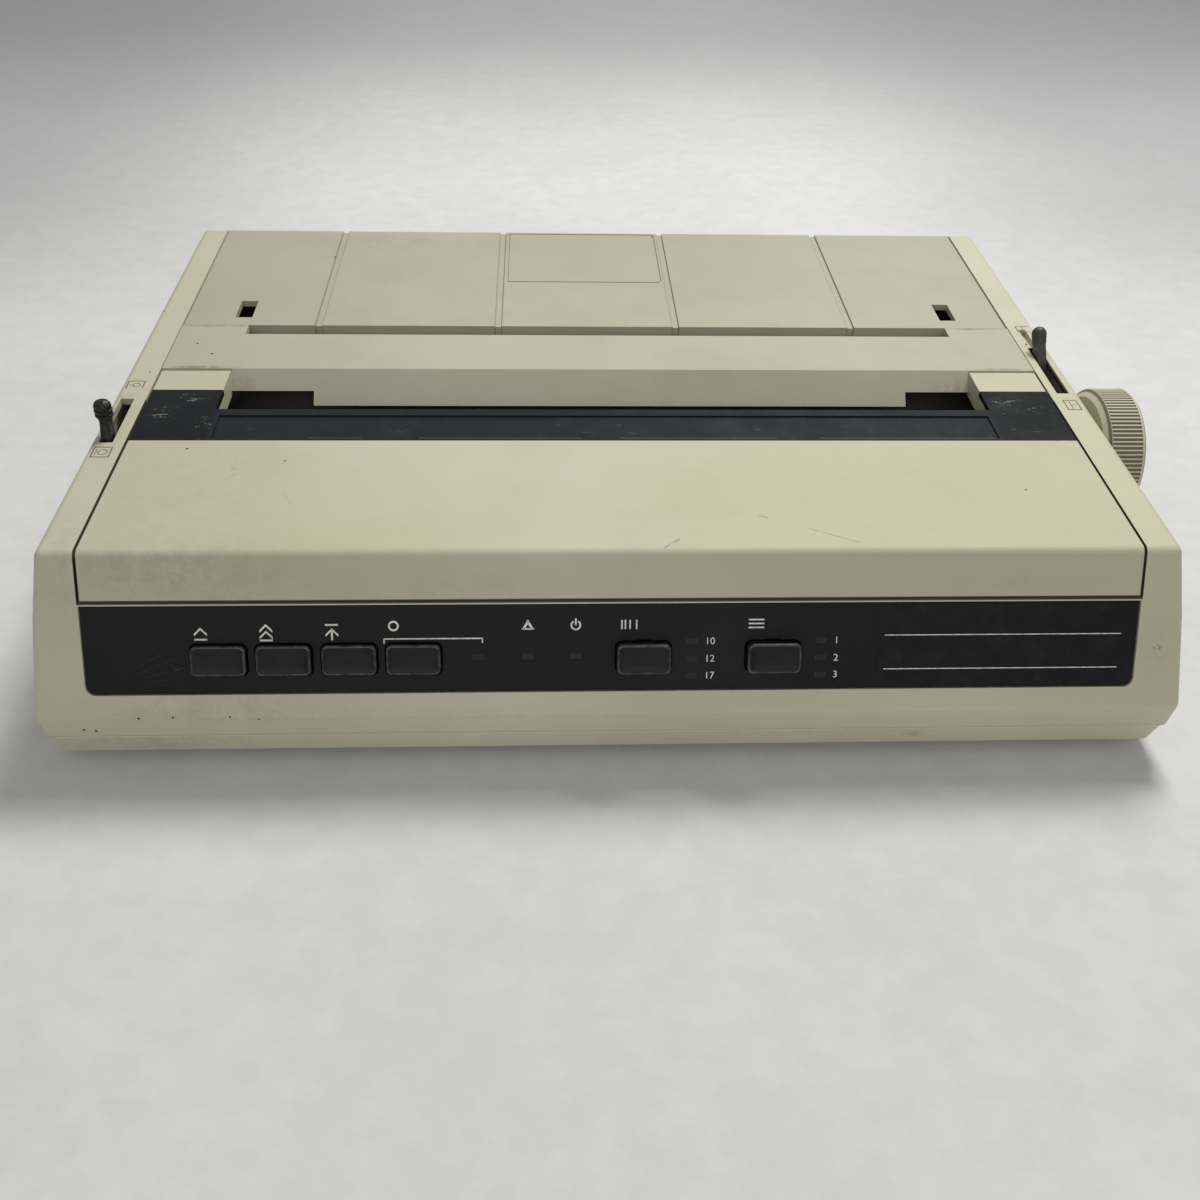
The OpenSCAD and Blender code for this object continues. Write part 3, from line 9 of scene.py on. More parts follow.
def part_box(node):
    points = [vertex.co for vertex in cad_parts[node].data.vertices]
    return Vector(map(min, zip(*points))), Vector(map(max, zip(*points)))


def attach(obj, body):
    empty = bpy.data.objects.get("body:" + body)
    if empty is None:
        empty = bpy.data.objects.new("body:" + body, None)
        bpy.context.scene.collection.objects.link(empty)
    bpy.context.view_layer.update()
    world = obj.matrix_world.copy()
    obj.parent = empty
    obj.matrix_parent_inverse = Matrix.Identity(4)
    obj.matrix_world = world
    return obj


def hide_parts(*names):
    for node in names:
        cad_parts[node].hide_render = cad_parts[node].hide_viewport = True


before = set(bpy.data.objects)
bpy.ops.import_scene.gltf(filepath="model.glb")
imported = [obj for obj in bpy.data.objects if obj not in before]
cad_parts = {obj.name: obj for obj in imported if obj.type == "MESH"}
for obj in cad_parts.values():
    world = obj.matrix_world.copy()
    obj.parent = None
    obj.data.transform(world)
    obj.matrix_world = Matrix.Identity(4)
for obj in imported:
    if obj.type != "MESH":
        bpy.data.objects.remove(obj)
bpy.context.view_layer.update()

# The camera stands close above the front edge, as the photograph's did, so the case
# widens towards the nose. It is turned and rolled by a few degrees.
case_low, case_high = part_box("upper_case")
case_mid = (case_low.x + case_high.x) / 2
eye = Vector((case_mid - 0.02414, -0.42555, 0.29428))
yaw, pitch, roll = radians(3.342), radians(37.8), radians(1.723)
ahead = Vector((sin(yaw) * cos(pitch), cos(yaw) * cos(pitch), -sin(pitch)))
level = Vector((cos(yaw), -sin(yaw), 0))
rise = level.cross(ahead)
right = cos(roll) * level + sin(roll) * rise
up = cos(roll) * rise - sin(roll) * level
lens = bpy.data.cameras.new("photo_camera")
lens.sensor_fit = "HORIZONTAL"
lens.sensor_width = 36
lens.lens = 36.62
lens.clip_start, lens.clip_end = 0.01, 20
camera = bpy.data.objects.new("photo_camera", lens)
camera.matrix_world = Matrix((right, up, -ahead)).transposed().to_4x4()
camera.matrix_world.translation = eye
scene = bpy.context.scene
scene.collection.objects.link(camera)
scene.camera = camera
scene.view_settings.view_transform = "Standard"

# One soft lamp hangs behind the printer and to its right, so the front casts a short
# shadow. A weak panel in front and the room's pale walls fill in the rest.
lamps_aim = Vector((0, 0.02, 0))
lamp_tint = (1.0, 0.993, 0.975)
for name, place, wide, tall, watts in (("soft_lamp", (0.4, 0.7, 1.4), 0.56, 0.36, 19.3),
                                       ("fill_panel", (-0.1, -1.25, 0.75), 1.2, 0.5, 3.6)):
    lamp = bpy.data.lights.new(name, "AREA")
    lamp.shape = "RECTANGLE"
    lamp.size, lamp.size_y, lamp.energy = wide, tall, watts
    lamp.color = lamp_tint
    stand = bpy.data.objects.new(name, lamp)
    stand.location = place
    stand.rotation_euler = (lamps_aim - stand.location).to_track_quat("-Z", "Y").to_euler()
    scene.collection.objects.link(stand)
room = bpy.data.worlds.new("room")
room.use_nodes = True
walls = room.node_tree.nodes["Background"]
walls.inputs["Color"].default_value = (0.985, 0.99, 1.0, 1)
walls.inputs["Strength"].default_value = 0.29
scene.world = room


# The floor is a broad sheet of matt white paper board, faintly mottled. It lies flat under the printer, and
# its colour is painted darker towards its far edge and far corners, as painted shade where the lamps' light
# falls off.
class Value:
    """A number that changes over a surface, so that shader maths is written as Python."""

    def __init__(self, finish, socket):
        self.finish, self.socket = finish, socket

    def maths(self, operation, *others):
        return self.finish.node("ShaderNodeMath", {"operation": operation}, (self, *others))

    def from_left(self, operation, other):
        return self.finish.node("ShaderNodeMath", {"operation": operation}, (other, self))

    def __add__(self, other):
        return self.maths("ADD", other)

    def __radd__(self, other):
        return self.from_left("ADD", other)

    def __sub__(self, other):
        return self.maths("SUBTRACT", other)

    def __rsub__(self, other):
        return self.from_left("SUBTRACT", other)

    def __mul__(self, other):
        return self.maths("MULTIPLY", other)

    def __rmul__(self, other):
        return self.from_left("MULTIPLY", other)

    def __truediv__(self, other):
        return self.maths("DIVIDE", other)

    def __pow__(self, other):
        return self.maths("POWER", other)

    def __mod__(self, other):
        return self.maths("MODULO", other)

    def __abs__(self):
        return self.maths("ABSOLUTE")


class Finish:
    """One material. Every node in it comes from its node() method."""

    def __init__(self, name, colour, roughness, **plain):
        self.material = bpy.data.materials.new(name)
        self.material.use_nodes = True
        self.tree = self.material.node_tree
        self.surface = self.tree.nodes["Principled BSDF"]
        self.surface.inputs["Base Color"].default_value = colour
        self.surface.inputs["Roughness"].default_value = roughness
        for socket, value in plain.items():
            self.surface.inputs[socket.replace("_", " ")].default_value = value
        self.place = self.node("ShaderNodeTexCoord", out="Object")

    def node(self, kind, settings=None, values=(), out=0):
        made = self.tree.nodes.new(kind)
        for key, value in (settings or {}).items():
            setattr(made, key, value)
        for key, value in values.items() if isinstance(values, dict) else enumerate(values):
            if isinstance(value, Value):
                self.tree.links.new(value.socket, made.inputs[key])
            else:
                made.inputs[key].default_value = value
        return Value(self, made.outputs[out])

    def feed(self, socket, value):
        self.tree.links.new(value.socket, self.surface.inputs[socket])

    def axes(self):
        return [self.node("ShaderNodeSeparateXYZ", None, (self.place,), axis) for axis in range(3)]

    def vectors(self, operation, first, second, out=0):
        return self.node("ShaderNodeVectorMath", {"operation": operation}, (first, second), out)

    def length(self, vector):
        return self.node("ShaderNodeVectorMath", {"operation": "LENGTH"}, (vector,), "Value")

    def stretched(self, reach):
        """The place divided by a reach along each axis, for a pattern with a grain."""
        return self.vectors("DIVIDE", self.place, reach)

    def noise(self, scale, detail=2, rough=0.5, place=None):
        return self.node("ShaderNodeTexNoise", None, {
            "Vector": place or self.place, "Scale": scale, "Detail": detail, "Roughness": rough})

    def step(self, value, low, high):
        """A mask that rises softly from 0 at low to 1 at high."""
        return self.node("ShaderNodeMapRange", {"interpolation_type": "SMOOTHSTEP"}, (value, low, high))

    def band(self, value, middle, outer, inner):
        """A mask round a middle: 0 at the outer distance from it and 1 at the inner one."""
        return self.step(abs(value - middle), outer, inner)

    def spot(self, centre, reach):
        """A soft blot that fades out at a reach along each axis."""
        scaled = self.vectors("DIVIDE", self.vectors("SUBTRACT", self.place, centre), reach)
        return self.step(self.length(scaled), 1.0, 0.1)

    def specks(self, pitch, size, share):
        """Dots in a share of the cells of a given pitch."""
        cells = self.node("ShaderNodeTexVoronoi", None, {"Vector": self.place, "Scale": 1 / pitch})
        chosen = Value(self, cells.socket.node.outputs["Color"])
        return self.step(cells, size, size * 0.5) * self.step(chosen, 1 - share - 0.01, 1 - share)

    def mix(self, share, first, second, blend="MIX"):
        return self.node("ShaderNodeMix", {"data_type": "RGBA", "blend_type": blend},
                         {0: share, 6: first, 7: second}, 2)

    def vary(self, share, first, second, smooth, spread):
        """Lets the colour and the gloss both follow one mask."""
        self.feed("Base Color", self.mix(share, first, second))
        self.feed("Roughness", smooth + share * spread)

    def relief(self, height, depth, strength=1.0):
        self.feed("Normal", self.node("ShaderNodeBump", None, {
            "Height": height, "Strength": strength, "Distance": depth}))


def paint(red, green, blue):
    """A colour given as the 0 to 255 numbers of a screen, as Blender's linear colour."""
    parts = [c / 255 for c in (red, green, blue)]
    return tuple(c / 12.92 if c <= 0.04045 else ((c + 0.055) / 1.055) ** 2.4 for c in parts) + (1,)


board_finish = Finish("paper_board", paint(217, 217, 216), 0.9, Specular_IOR_Level=0.2)
mottle = board_finish.noise(9, 4, 0.6) * 0.45 + board_finish.noise(75, 4, 0.6) * 0.55
board_tone = board_finish.mix(board_finish.step(mottle, 0.36, 0.64), paint(213, 213, 212),
                              paint(221, 221, 220))
across, along, _ = board_finish.axes()
# Painted shade: the board's colour darkens towards the far edge and the far corners.
far_edge_shade = board_finish.step(along, 0.4, 0.9) * 0.7
far_corner_shade = board_finish.step(abs(across), 0.12, 0.42) * board_finish.step(along, 0.1, 0.42) * 0.55
painted_falloff = 1 - (1 - far_edge_shade) * (1 - far_corner_shade)
board_finish.feed("Base Color", board_finish.mix(painted_falloff, board_tone, paint(150, 150, 152)))
board_finish.relief(board_finish.noise(300, 3), 0.0002, 0.4)
floor_mesh = bpy.data.meshes.new("floor")
reach = 6
floor_mesh.from_pydata([(-reach, -reach, 0), (reach, -reach, 0), (reach, reach, 0), (-reach, reach, 0)],
                       [], [(0, 1, 2, 3)])
floor_mesh.materials.append(board_finish.material)
floor = bpy.data.objects.new("floor", floor_mesh)
scene.collection.objects.link(floor)

# Upper case, tray, cover, paper bar and separator are injection-moulded ABS, spark-eroded
# to a fine matt grain. Years of light turned it a green-grey beige, with hand grime in
# front, dark specks and a few rubbed scratches.
mm = 0.001
fold_y, fold_h = -115.09, 72.7
nose_lean, top_slope = radians(24.8), radians(1.69568)


def dress(finish, *nodes):
    """Gives carried-over solids their finish."""
    for name in nodes:
        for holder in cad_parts[name].material_slots:
            holder.material = finish.material


def at(x, y, z):
    """A point in millimetres, with x counted from the middle of the case."""
    return Vector((case_mid + x * mm, y * mm, z * mm))


def on_nose(x, down, out):
    """A point on the sloping front: across, down from the fold, and out of the surface."""
    y = fold_y - down * sin(nose_lean) - out * cos(nose_lean)
    z = fold_h - down * cos(nose_lean) + out * sin(nose_lean)
    return at(x, y, z)


def on_top(x, y, out):
    """A point on the sloping top, and out of it."""
    return at(x, y, fold_h + (y - fold_y) * tan(top_slope) + out)


def scratch(finish, first, last, width):
    """A rubbed line between two points of a surface, as a mask."""
    run = (last - first).normalized()
    half = (last - first).length / 2
    offset = finish.vectors("SUBTRACT", finish.place, (first + last) / 2)
    lengthwise = finish.vectors("DOT_PRODUCT", offset, run, "Value")
    along_run = finish.node("ShaderNodeVectorMath", {"operation": "SCALE"}, {0: run, "Scale": lengthwise})
    sideways = finish.length(finish.vectors("SUBTRACT", offset, along_run))
    wavering = sideways + abs(finish.noise(260, 2) - 0.5) * (width * 4)
    return finish.step(abs(lengthwise), half, half * 0.8) * finish.step(wavering, width, width * 0.4)


def darker(tone, *less):
    """A tone's colour with something taken off each of its three numbers."""
    return paint(*(part - off for part, off in zip(tone, less)))


def beige_abs(name, grime=(), scratches=(), chips=(), tone=(201, 199, 174)):
    """Aged beige plastic, with blots of grime, rubbed scratches, dark chips and painted shade towards the
    left.
    """
    finish = Finish(name, paint(*tone), 0.55, Specular_IOR_Level=0.35)
    patches = finish.noise(7, 3, 0.55)
    cloud = finish.noise(34, 4, 0.6)
    aged = finish.mix(finish.step(patches, 0.35, 0.68), paint(*tone), darker(tone, 7, 8, 13))
    aged = finish.mix(finish.step(cloud, 0.42, 0.75) * 0.35, aged, darker(tone, 16, 17, 22))
    # Painted shade: the plastic is painted darker towards the left of the case, away from the lamp.
    across_case, _, _ = finish.axes()
    left_shade = finish.step(across_case, case_mid - 0.04, case_mid - 0.19) * 0.42
    aged = finish.mix(left_shade, aged, darker(tone, 25, 28, 26))
    smear = finish.noise(110, 6, 0.75) * 0.6 + finish.noise(380, 4, 0.65) * 0.4
    for centre, extent, strength in grime:
        mask = finish.spot(centre, Vector(extent) * mm) * finish.step(smear, 0.4, 0.6) * strength
        aged = finish.mix(mask, aged, paint(128, 108, 78))
    dots = finish.specks(0.034, 0.016, 0.22)
    aged = finish.mix(dots * 0.75, aged, paint(74, 62, 48))
    ragged = finish.noise(600, 3, 0.6) * 0.5
    for centre, radius in chips:
        hole = finish.spot(centre, Vector((radius, radius, radius)) * 0.74 * mm)
        aged = finish.mix(finish.step(hole + ragged, 0.62, 0.74), aged, paint(44, 37, 30))
    for start, end, width in scratches:
        rubbed_and_sheen = scratch(finish, on_top(*start, 0), on_top(*end, 0), width * mm)
        aged = finish.mix(rubbed_and_sheen * 0.6, aged, paint(92, 84, 68))
    finish.feed("Base Color", aged)
    finish.feed("Roughness", 0.5 + finish.noise(420, 2) * 0.16 - finish.step(patches, 0.5, 0.7) * 0.05)
    finish.relief(finish.noise(2100, 2, 0.6), 0.00006, 0.55)
    return finish


def over(finish, share, colour):
    """Lays one more colour over what a finish already has."""
    below = Value(finish, finish.surface.inputs["Base Color"].links[0].from_socket)
    finish.feed("Base Color", finish.mix(share, below, colour))


case_finish = beige_abs(
    "case_abs_aged", tone=(206, 204, 180),
    grime=[(at(-174, -112, 66), (14, 30, 34), 0.14), (at(-130, -139, 26), (60, 16, 10), 0.2),
           (at(-40, -141, 24), (80, 10, 6), 0.15), (at(176, -128, 40), (10, 12, 20), 0.12),
           (at(-176, -30, 76), (12, 40, 6), 0.2), (at(176, 0, 78), (12, 50, 6), 0.2)],
    chips=[(on_top(-179.4, 48.4, 0), 2.2), (on_top(-172, -2.9, 0), 1.0), (at(-152.7, -137.4, 23.7), 1.0),
           (at(-142, -137.4, 24), 1.0), (at(-124, -137.4, 24), 0.8), (at(-115.2, -137.2, 22.8), 0.9),
           (at(-171.5, -136, 17.8), 1.2), (at(-167.9, -135.9, 17.1), 1.1)])
red_rub = case_finish.spot(on_nose(175.1, 32.7, 0), Vector((2.6, 1.6, 1.4)) * mm)
broken_up = case_finish.step(case_finish.noise(900, 2), 0.45, 0.55)
over(case_finish, red_rub * broken_up * 0.7, paint(150, 48, 44))
case_x, case_y, case_z = case_finish.axes()
from_mid = abs(case_x - case_mid)
below_top = (case_y - fold_y * mm) * tan(top_slope) + fold_h * mm - case_z
# Painted shade: inside each lever slot the rail's walls are painted near black from a little below the top
# downwards.
slot_half_wide = 2.4
for slot_x, slot_y, half_long, lit in ((-175.2, -37.5, 14.9, 3.2), (174.0, 2.5, 20, 0.2)):
    in_slot = case_finish.band(case_x, at(slot_x, 0, 0).x,
                               (slot_half_wide + 0.35) * mm, (slot_half_wide + 0.15) * mm)
    in_slot = in_slot * case_finish.band(case_y, slot_y * mm,
                                         (half_long + 0.35) * mm, (half_long + 0.15) * mm)
    shadow = case_finish.step(below_top, lit * mm, (lit + 1.2) * mm) * 0.94
    over(case_finish, in_slot * shadow, paint(30, 28, 24))
# Painted shade: thin dark lines on the case beside the access cover's sides and under its foot, where the
# gaps are.
bay_wall, bay_foot, cover_rear = 0.16845, 0.05774, -0.0235
beside_cover_shade = case_finish.band(from_mid, bay_wall, 0.0003, 0.0002)
beside_cover_shade = beside_cover_shade * case_finish.step(case_z, 0.0575, 0.058)
beside_cover_shade = beside_cover_shade * case_finish.step(case_y, cover_rear + 0.001, cover_rear)
over(case_finish, beside_cover_shade * 0.85, paint(58, 50, 36))
under_cover_shade = case_finish.band(case_z, bay_foot, 0.00025, 0.00012)
under_cover_shade = under_cover_shade * case_finish.step(from_mid, bay_wall + 0.00035, bay_wall + 0.00015)
under_cover_shade = under_cover_shade * case_finish.step(case_y, -0.1, -0.105)
over(case_finish, under_cover_shade * 0.8, paint(66, 58, 42))
# Painted shade: the upper case is painted darker below its seam with the tray, as a shadow line.
over(case_finish, case_finish.step(case_z, 0.0145, 0.0141) * 0.4, paint(84, 76, 58))
dress(case_finish, "upper_case")

tray_finish = beige_abs(
    "tray_abs_aged", tone=(209, 207, 184),
    grime=[(at(-150, -136, 10), (60, 14, 12), 0.22), (at(40, -136, 9), (120, 12, 8), 0.12),
           (at(99, -136, 9), (5, 6, 4), 0.6)])
_, _, tray_z = tray_finish.axes()
# Painted highlight: a pale line along the tray's top edge at the seam.
over(tray_finish, tray_finish.step(tray_z, 0.0127, 0.0132) * 0.4, paint(236, 234, 214))
dress(tray_finish, "lower_case")

cover_finish = beige_abs(
    "cover_abs_aged",
    grime=[(on_nose(-140, 7, 0), (60, 16, 14), 0.22), (on_nose(-60, 11, 0), (70, 12, 8), 0.1),
           (on_nose(120, 12, 0), (60, 12, 6), 0.08), (on_top(-145, -85, 0), (60, 60, 8), 0.08),
           (on_top(-128, -68, 0), (2.2, 9, 6), 0.3)],
    scratches=[((13.6, -114), (19.5, -109), 0.5), ((60.8, -103.6), (77, -111.8), 0.28),
               ((46, -96.5), (49, -98), 0.4), ((-109, -84), (-106, -90), 0.3)],
    chips=[(on_top(-146.5, -56.4, 0), 1.1), (on_top(139.3, -82.1, 0), 0.9),
           (on_top(-112, -64, 0), 0.8)])
# Painted shade: the cover's sides and lower end are painted dark where they meet the case.
cover_x, _, cover_z = cover_finish.axes()
cover_side_shade = cover_finish.band(cover_x, case_mid, 0.16755, 0.16775)
cover_end_shade = cover_finish.step(cover_z, (fold_h - 13.8) * mm, (fold_h - 14.05) * mm)
over(cover_finish, (1 - (1 - cover_side_shade) * (1 - cover_end_shade)) * 0.85, paint(58, 50, 36))
dress(cover_finish, "access_cover")

# The bar's tone is darker than the case's, partly as painted shade for the dimmer light towards the rear.
bar_finish = beige_abs(
    "bar_abs_aged", tone=(189, 187, 167),
    grime=[(on_top(-154, 1, 0), (20, 1.5, 3), 0.8), (on_top(-152, 34.8, 0), (20, 1.5, 3), 0.8),
           (on_top(154, 1, 0), (18, 1.3, 3), 0.6), (on_top(154, 34.8, 0), (18, 1.3, 3), 0.6),
           (on_top(-138, -5, -5), (7, 7, 7), 0.5), (on_top(136, -6, -6), (14, 7, 7), 0.5)],
    chips=[(on_top(-159.1, 19.9, 0), 1.0), (on_top(-151.9, 11.6, 0), 1.2)])
dress(bar_finish, "paper_bar")

# The separator's tone is darker than the case's, partly as painted shade for the dimmer light towards the
# rear.
separator_finish = beige_abs(
    "separator_abs_aged", tone=(184, 183, 163),
    grime=[(on_top(-90, 120, 0), (60, 12, 6), 0.2)],
    chips=[(on_top(-116.2, 102.8, -0.7), 1.3)])
lid_x, _, _ = separator_finish.axes()
# Painted shade: the separator is painted darker along the walls of its grooves.
groove_pitch, groove_half = 0.0726, 0.0014
phase = ((lid_x - at(-5.7, 0, 0).x) / groove_pitch + 40.0) % 1.0
from_wall = abs(abs(phase - 0.5) * groove_pitch - groove_half)
over(separator_finish, separator_finish.step(from_wall, 0.0005, 0.0001) * 0.32, paint(112, 104, 80))
dress(separator_finish, "separator")

# The operation panel is a black ABS moulding with a fine satin face, set a little into the
# nose. It is dusty in its corners and smeared where fingers reach for the keys.
ink = (16, 17, 18)
panel_face = -0.6
panel_finish = Finish("panel_black", paint(*ink), 0.42, Specular_IOR_Level=0.24)
haze = panel_finish.noise(22, 4, 0.65)
wiped = panel_finish.noise(11, 3, 0.5, panel_finish.stretched((3.5, 1, 1)))
panel_tone = panel_finish.mix(panel_finish.step(haze, 0.45, 0.8) * 0.5, paint(*ink), paint(36, 36, 34))
dust = panel_finish.specks(0.0042, 0.075, 0.16)
panel_tone = panel_finish.mix(dust * panel_finish.step(wiped, 0.4, 0.6) * 0.5, panel_tone,
                              paint(122, 120, 110))
for start, end in (((-153, 39.5), (-139, 34)), ((-150, 40.6), (-136.5, 37)), ((-152, 37.2), (-144, 32.6)),
                   ((-146, 33), (-138.6, 38.6)), ((-149, 41.6), (-141, 41))):
    hairline = scratch(panel_finish, on_nose(*start, panel_face), on_nose(*end, panel_face), 0.14 * mm)
    panel_tone = panel_finish.mix(hairline * 0.2, panel_tone, paint(104, 104, 100))
panel_finish.feed("Base Color", panel_tone)
panel_finish.feed("Roughness", 0.34 + haze * 0.22)
panel_finish.relief(panel_finish.noise(1700, 2), 0.00004, 0.4)
dress(panel_finish, "operation_panel")


# The marks on the panel are screen-printed in off-white ink: a bracket from the select key
# to its lamp, two rules on the bare field, plain signs over the keys, and numbers beside
# the lamps.
def normals_out(mesh):
    shell = bmesh.new()
    shell.from_mesh(mesh)
    bmesh.ops.recalc_face_normals(shell, faces=shell.faces)
    shell.to_mesh(mesh)
    shell.free()


def lofted(name, stacks, finish, body):
    """Closed shapes in one mesh: each stack is a row of loops of points, skinned and capped."""
    points, faces = [], []
    for loops in stacks:
        count, start = len(loops[0]), len(points)
        for loop in loops:
            points += loop
        for below in range(start, len(points) - count, count):
            above = below + count
            for i in range(count):
                j = (i + 1) % count
                faces.append((below + i, below + j, above + j, above + i))
        faces.append(tuple(range(start + count - 1, start - 1, -1)))
        faces.append(tuple(range(len(points) - count, len(points))))
    mesh = bpy.data.meshes.new(name)
    mesh.from_pydata(points, [], faces)
    mesh.validate()
    normals_out(mesh)
    mesh.materials.append(finish.material)
    piece = bpy.data.objects.new(name, mesh)
    scene.collection.objects.link(piece)
    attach(piece, body)
    return piece


def plates(name, outlines, place, low, high, finish, body):
    """Thin raised shapes: each outline becomes a closed prism between two heights."""
    stacks = [[[place(x, y, height) for x, y in outline] for height in (low, high)] for outline in outlines]
    return lofted(name, stacks, finish, body)


def bar(x0, x1, y0, y1):
    return [(x0, y0), (x1, y0), (x1, y1), (x0, y1)]


def ring(x, y, outer, inner, start=0.0, end=360.0, count=22):
    """An annulus or arc as a run of four-cornered outlines."""
    spans = []
    for i in range(count):
        a, b = (radians(start + (end - start) * k / count) for k in (i, i + 1))
        spans.append([(x + r * cos(t), y + r * sin(t))
                      for r, t in ((inner, a), (outer, a), (outer, b), (inner, b))])
    return spans


def chevron(x, y):
    """An arrow's head that points up the nose."""
    wide, thick = 2.0, 0.55 * 1.4
    return [[(x - wide, y + wide), (x, y), (x, y + thick), (x - wide, y + wide + thick)],
            [(x, y), (x + wide, y + wide), (x + wide, y + wide + thick), (x, y + thick)]]


print_finish = Finish("screen_print", paint(232, 231, 222), 0.6)
worn = print_finish.noise(700, 3, 0.6)
print_finish.feed("Base Color", print_finish.mix(print_finish.step(worn, 0.35, 0.6), paint(206, 205, 194),
                                                 paint(240, 239, 230)))
print_finish.feed("Roughness", 0.5 + worn * 0.2)
field_finish = Finish("blank_field_film", paint(17, 18, 18), 0.24, Specular_IOR_Level=0.3)
rub_marks = field_finish.noise(160, 5, 0.7)
field_finish.feed("Base Color", field_finish.mix(field_finish.step(rub_marks, 0.5, 0.8) * 0.6,
                                                 paint(16, 17, 17), paint(40, 39, 36)))
field_finish.feed("Roughness", 0.16 + rub_marks * 0.3)
field_left, field_right, field_top, field_foot, field_radius = 83.2, 167.9, 17.9, 45.3, 3
round_corner = [(field_right - field_radius + field_radius * cos(radians(a)),
                 field_foot - field_radius + field_radius * sin(radians(a))) for a in range(0, 91, 15)]
plates("blank_field", [[(field_left, field_top), (field_right, field_top)] + round_corner
                       + [(field_left, field_foot)]],
       on_nose, panel_face - 0.05, panel_face + 0.09, field_finish, "case")
line_w = 0.42
bracket_left, bracket_right, bracket_top, bracket_foot = -74.8, -43.4, 28.1, 29.8
marks = [bar(bracket_left, bracket_right, bracket_top, bracket_top + line_w),
         bar(bracket_left, bracket_left + line_w, bracket_top, bracket_foot),
         bar(bracket_right - line_w, bracket_right, bracket_top, bracket_foot)]
marks += chevron(-131.6, 24.2) + [bar(-133.6, -129.6, 27.8, 28.4)]
marks += chevron(-111.3, 23.2) + chevron(-111.3, 25.3) + [bar(-113.3, -109.3, 28.2, 28.8)]
marks += [bar(-92.8, -88.8, 23.3, 23.9)] + chevron(-90.8, 24.7) + [bar(-91.1, -90.5, 25.0, 28.6)]
marks += ring(-71.5, 24.1, 1.7, 1.1)
marks += [[(-31.2, 25.6), (-29.2, 22.2), (-28.7, 22.9), (-30.3, 25.6)],
          [(-27.2, 25.6), (-28.1, 25.6), (-29.7, 22.9), (-29.2, 22.2)],
          bar(-31.2, -27.2, 25.1, 25.6)]
marks += ring(-14, 24.2, 1.7, 1.15, -60, 240) + [bar(-14.27, -13.73, 22.0, 24.2)]
marks += [bar(0.4 + k, 0.9 + k, 22.6, 25.6) for k in (0, 1.1, 2.6, 4.7)]
marks += [bar(41.2, 46.2, 22.5 + k, 23.0 + k) for k in (0, 1.3, 2.6)]
plates("panel_print", marks, on_nose, panel_face - 0.03, panel_face + 0.02, print_finish, "case")
plates("field_rules", [bar(85.3, 163, 28.0, 28.3), bar(85.5, 162.6, 39.3, 39.6)],
       on_nose, panel_face + 0.06, panel_face + 0.13, print_finish, "case")


def number(text, x, down, size):
    """A printed number whose left end is at x, with its middle a distance down the nose."""
    curve = bpy.data.curves.new("number_" + text, "FONT")
    curve.body, curve.size, curve.extrude, curve.resolution_u = text, size, 0.025, 3
    curve.align_y = "CENTER"
    sketch = bpy.data.objects.new("sketch", curve)
    mesh = bpy.data.meshes.new_from_object(sketch)
    bpy.data.objects.remove(sketch)
    for point in mesh.vertices:
        point.co = on_nose(x + point.co.x, down - point.co.y, panel_face + point.co.z)
    mesh.materials.clear()
    mesh.materials.append(print_finish.material)
    piece = bpy.data.objects.new(f"number_{text}_{round(x)}", mesh)
    scene.collection.objects.link(piece)
    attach(piece, "case")


lamp_rows = (29.8, 35.6, 41.2)
for column, texts in ((27.3, ("10", "12", "17")), (69.0, ("1", "2", "3"))):
    for text, row in zip(texts, lamp_rows):
        number(text, column, row, 3.3)

# The lamp windows are strips of dark smoked acrylic, set flush in the panel. They barely
# show when the lamps are off.
lamp_finish = Finish("lamp_window", paint(28, 33, 34), 0.2, Specular_IOR_Level=0.3)
lamp_finish.feed("Base Color", lamp_finish.mix(lamp_finish.noise(500, 3), paint(31, 36, 37),
                                               paint(46, 52, 52)))
lamp_finish.feed("Roughness", 0.16 + lamp_finish.noise(900, 2) * 0.2)
dress(lamp_finish, "panel_lamps")

# Key caps are moulded in black ABS and clipped onto their switches. Each has a rounded rim and a shallow
# dish, and the rim carries a painted highlight: a lighter, glossier grey.
key_finish = Finish("key_abs_black", paint(22, 23, 24), 0.36, Specular_IOR_Level=0.26)
polish = key_finish.noise(90, 4, 0.6)
key_finish.feed("Base Color", key_finish.mix(key_finish.step(polish, 0.35, 0.7), paint(17, 18, 19),
                                             paint(29, 30, 30)))
key_finish.feed("Roughness", 0.3 + polish * 0.3)
key_finish.relief(key_finish.noise(1500, 2), 0.00003, 0.4)
# Painted highlight: the key rims are a lighter grey than the caps, mottled by a noise.
rim_highlight_finish = Finish("key_rim_painted_highlight", paint(60, 61, 60), 0.24, Specular_IOR_Level=0.5)
rubbed_and_sheen = rim_highlight_finish.noise(240, 4, 0.65)
rim_highlight_finish.feed("Base Color", rim_highlight_finish.mix(rim_highlight_finish.step(rubbed_and_sheen, 0.35, 0.65), paint(30, 31, 31),
                                             paint(74, 75, 74)))
rim_highlight_finish.feed("Roughness", 0.16 + rubbed_and_sheen * 0.25)
cap_half_wide, cap_half_tall, cap_down = 8.65, 4.95, 34.8
rim_rows = (2, 3)


def cap_loop(x, inset, out):
    """One rounded rectangle of a key cap, as points."""
    wide, tall = cap_half_wide - inset, cap_half_tall - inset
    radius = max(1.8 - inset * 0.4, 0.3)
    steps = 6
    loop = []
    for cx, cy, start in ((1, 1, 0), (-1, 1, 90), (-1, -1, 180), (1, -1, 270)):
        for k in range(steps + 1):
            a = radians(start + 90 * k / steps)
            loop.append(on_nose(x + cx * (wide - radius) + radius * cos(a),
                                cap_down + cy * (tall - radius) + radius * sin(a), out))
    return loop


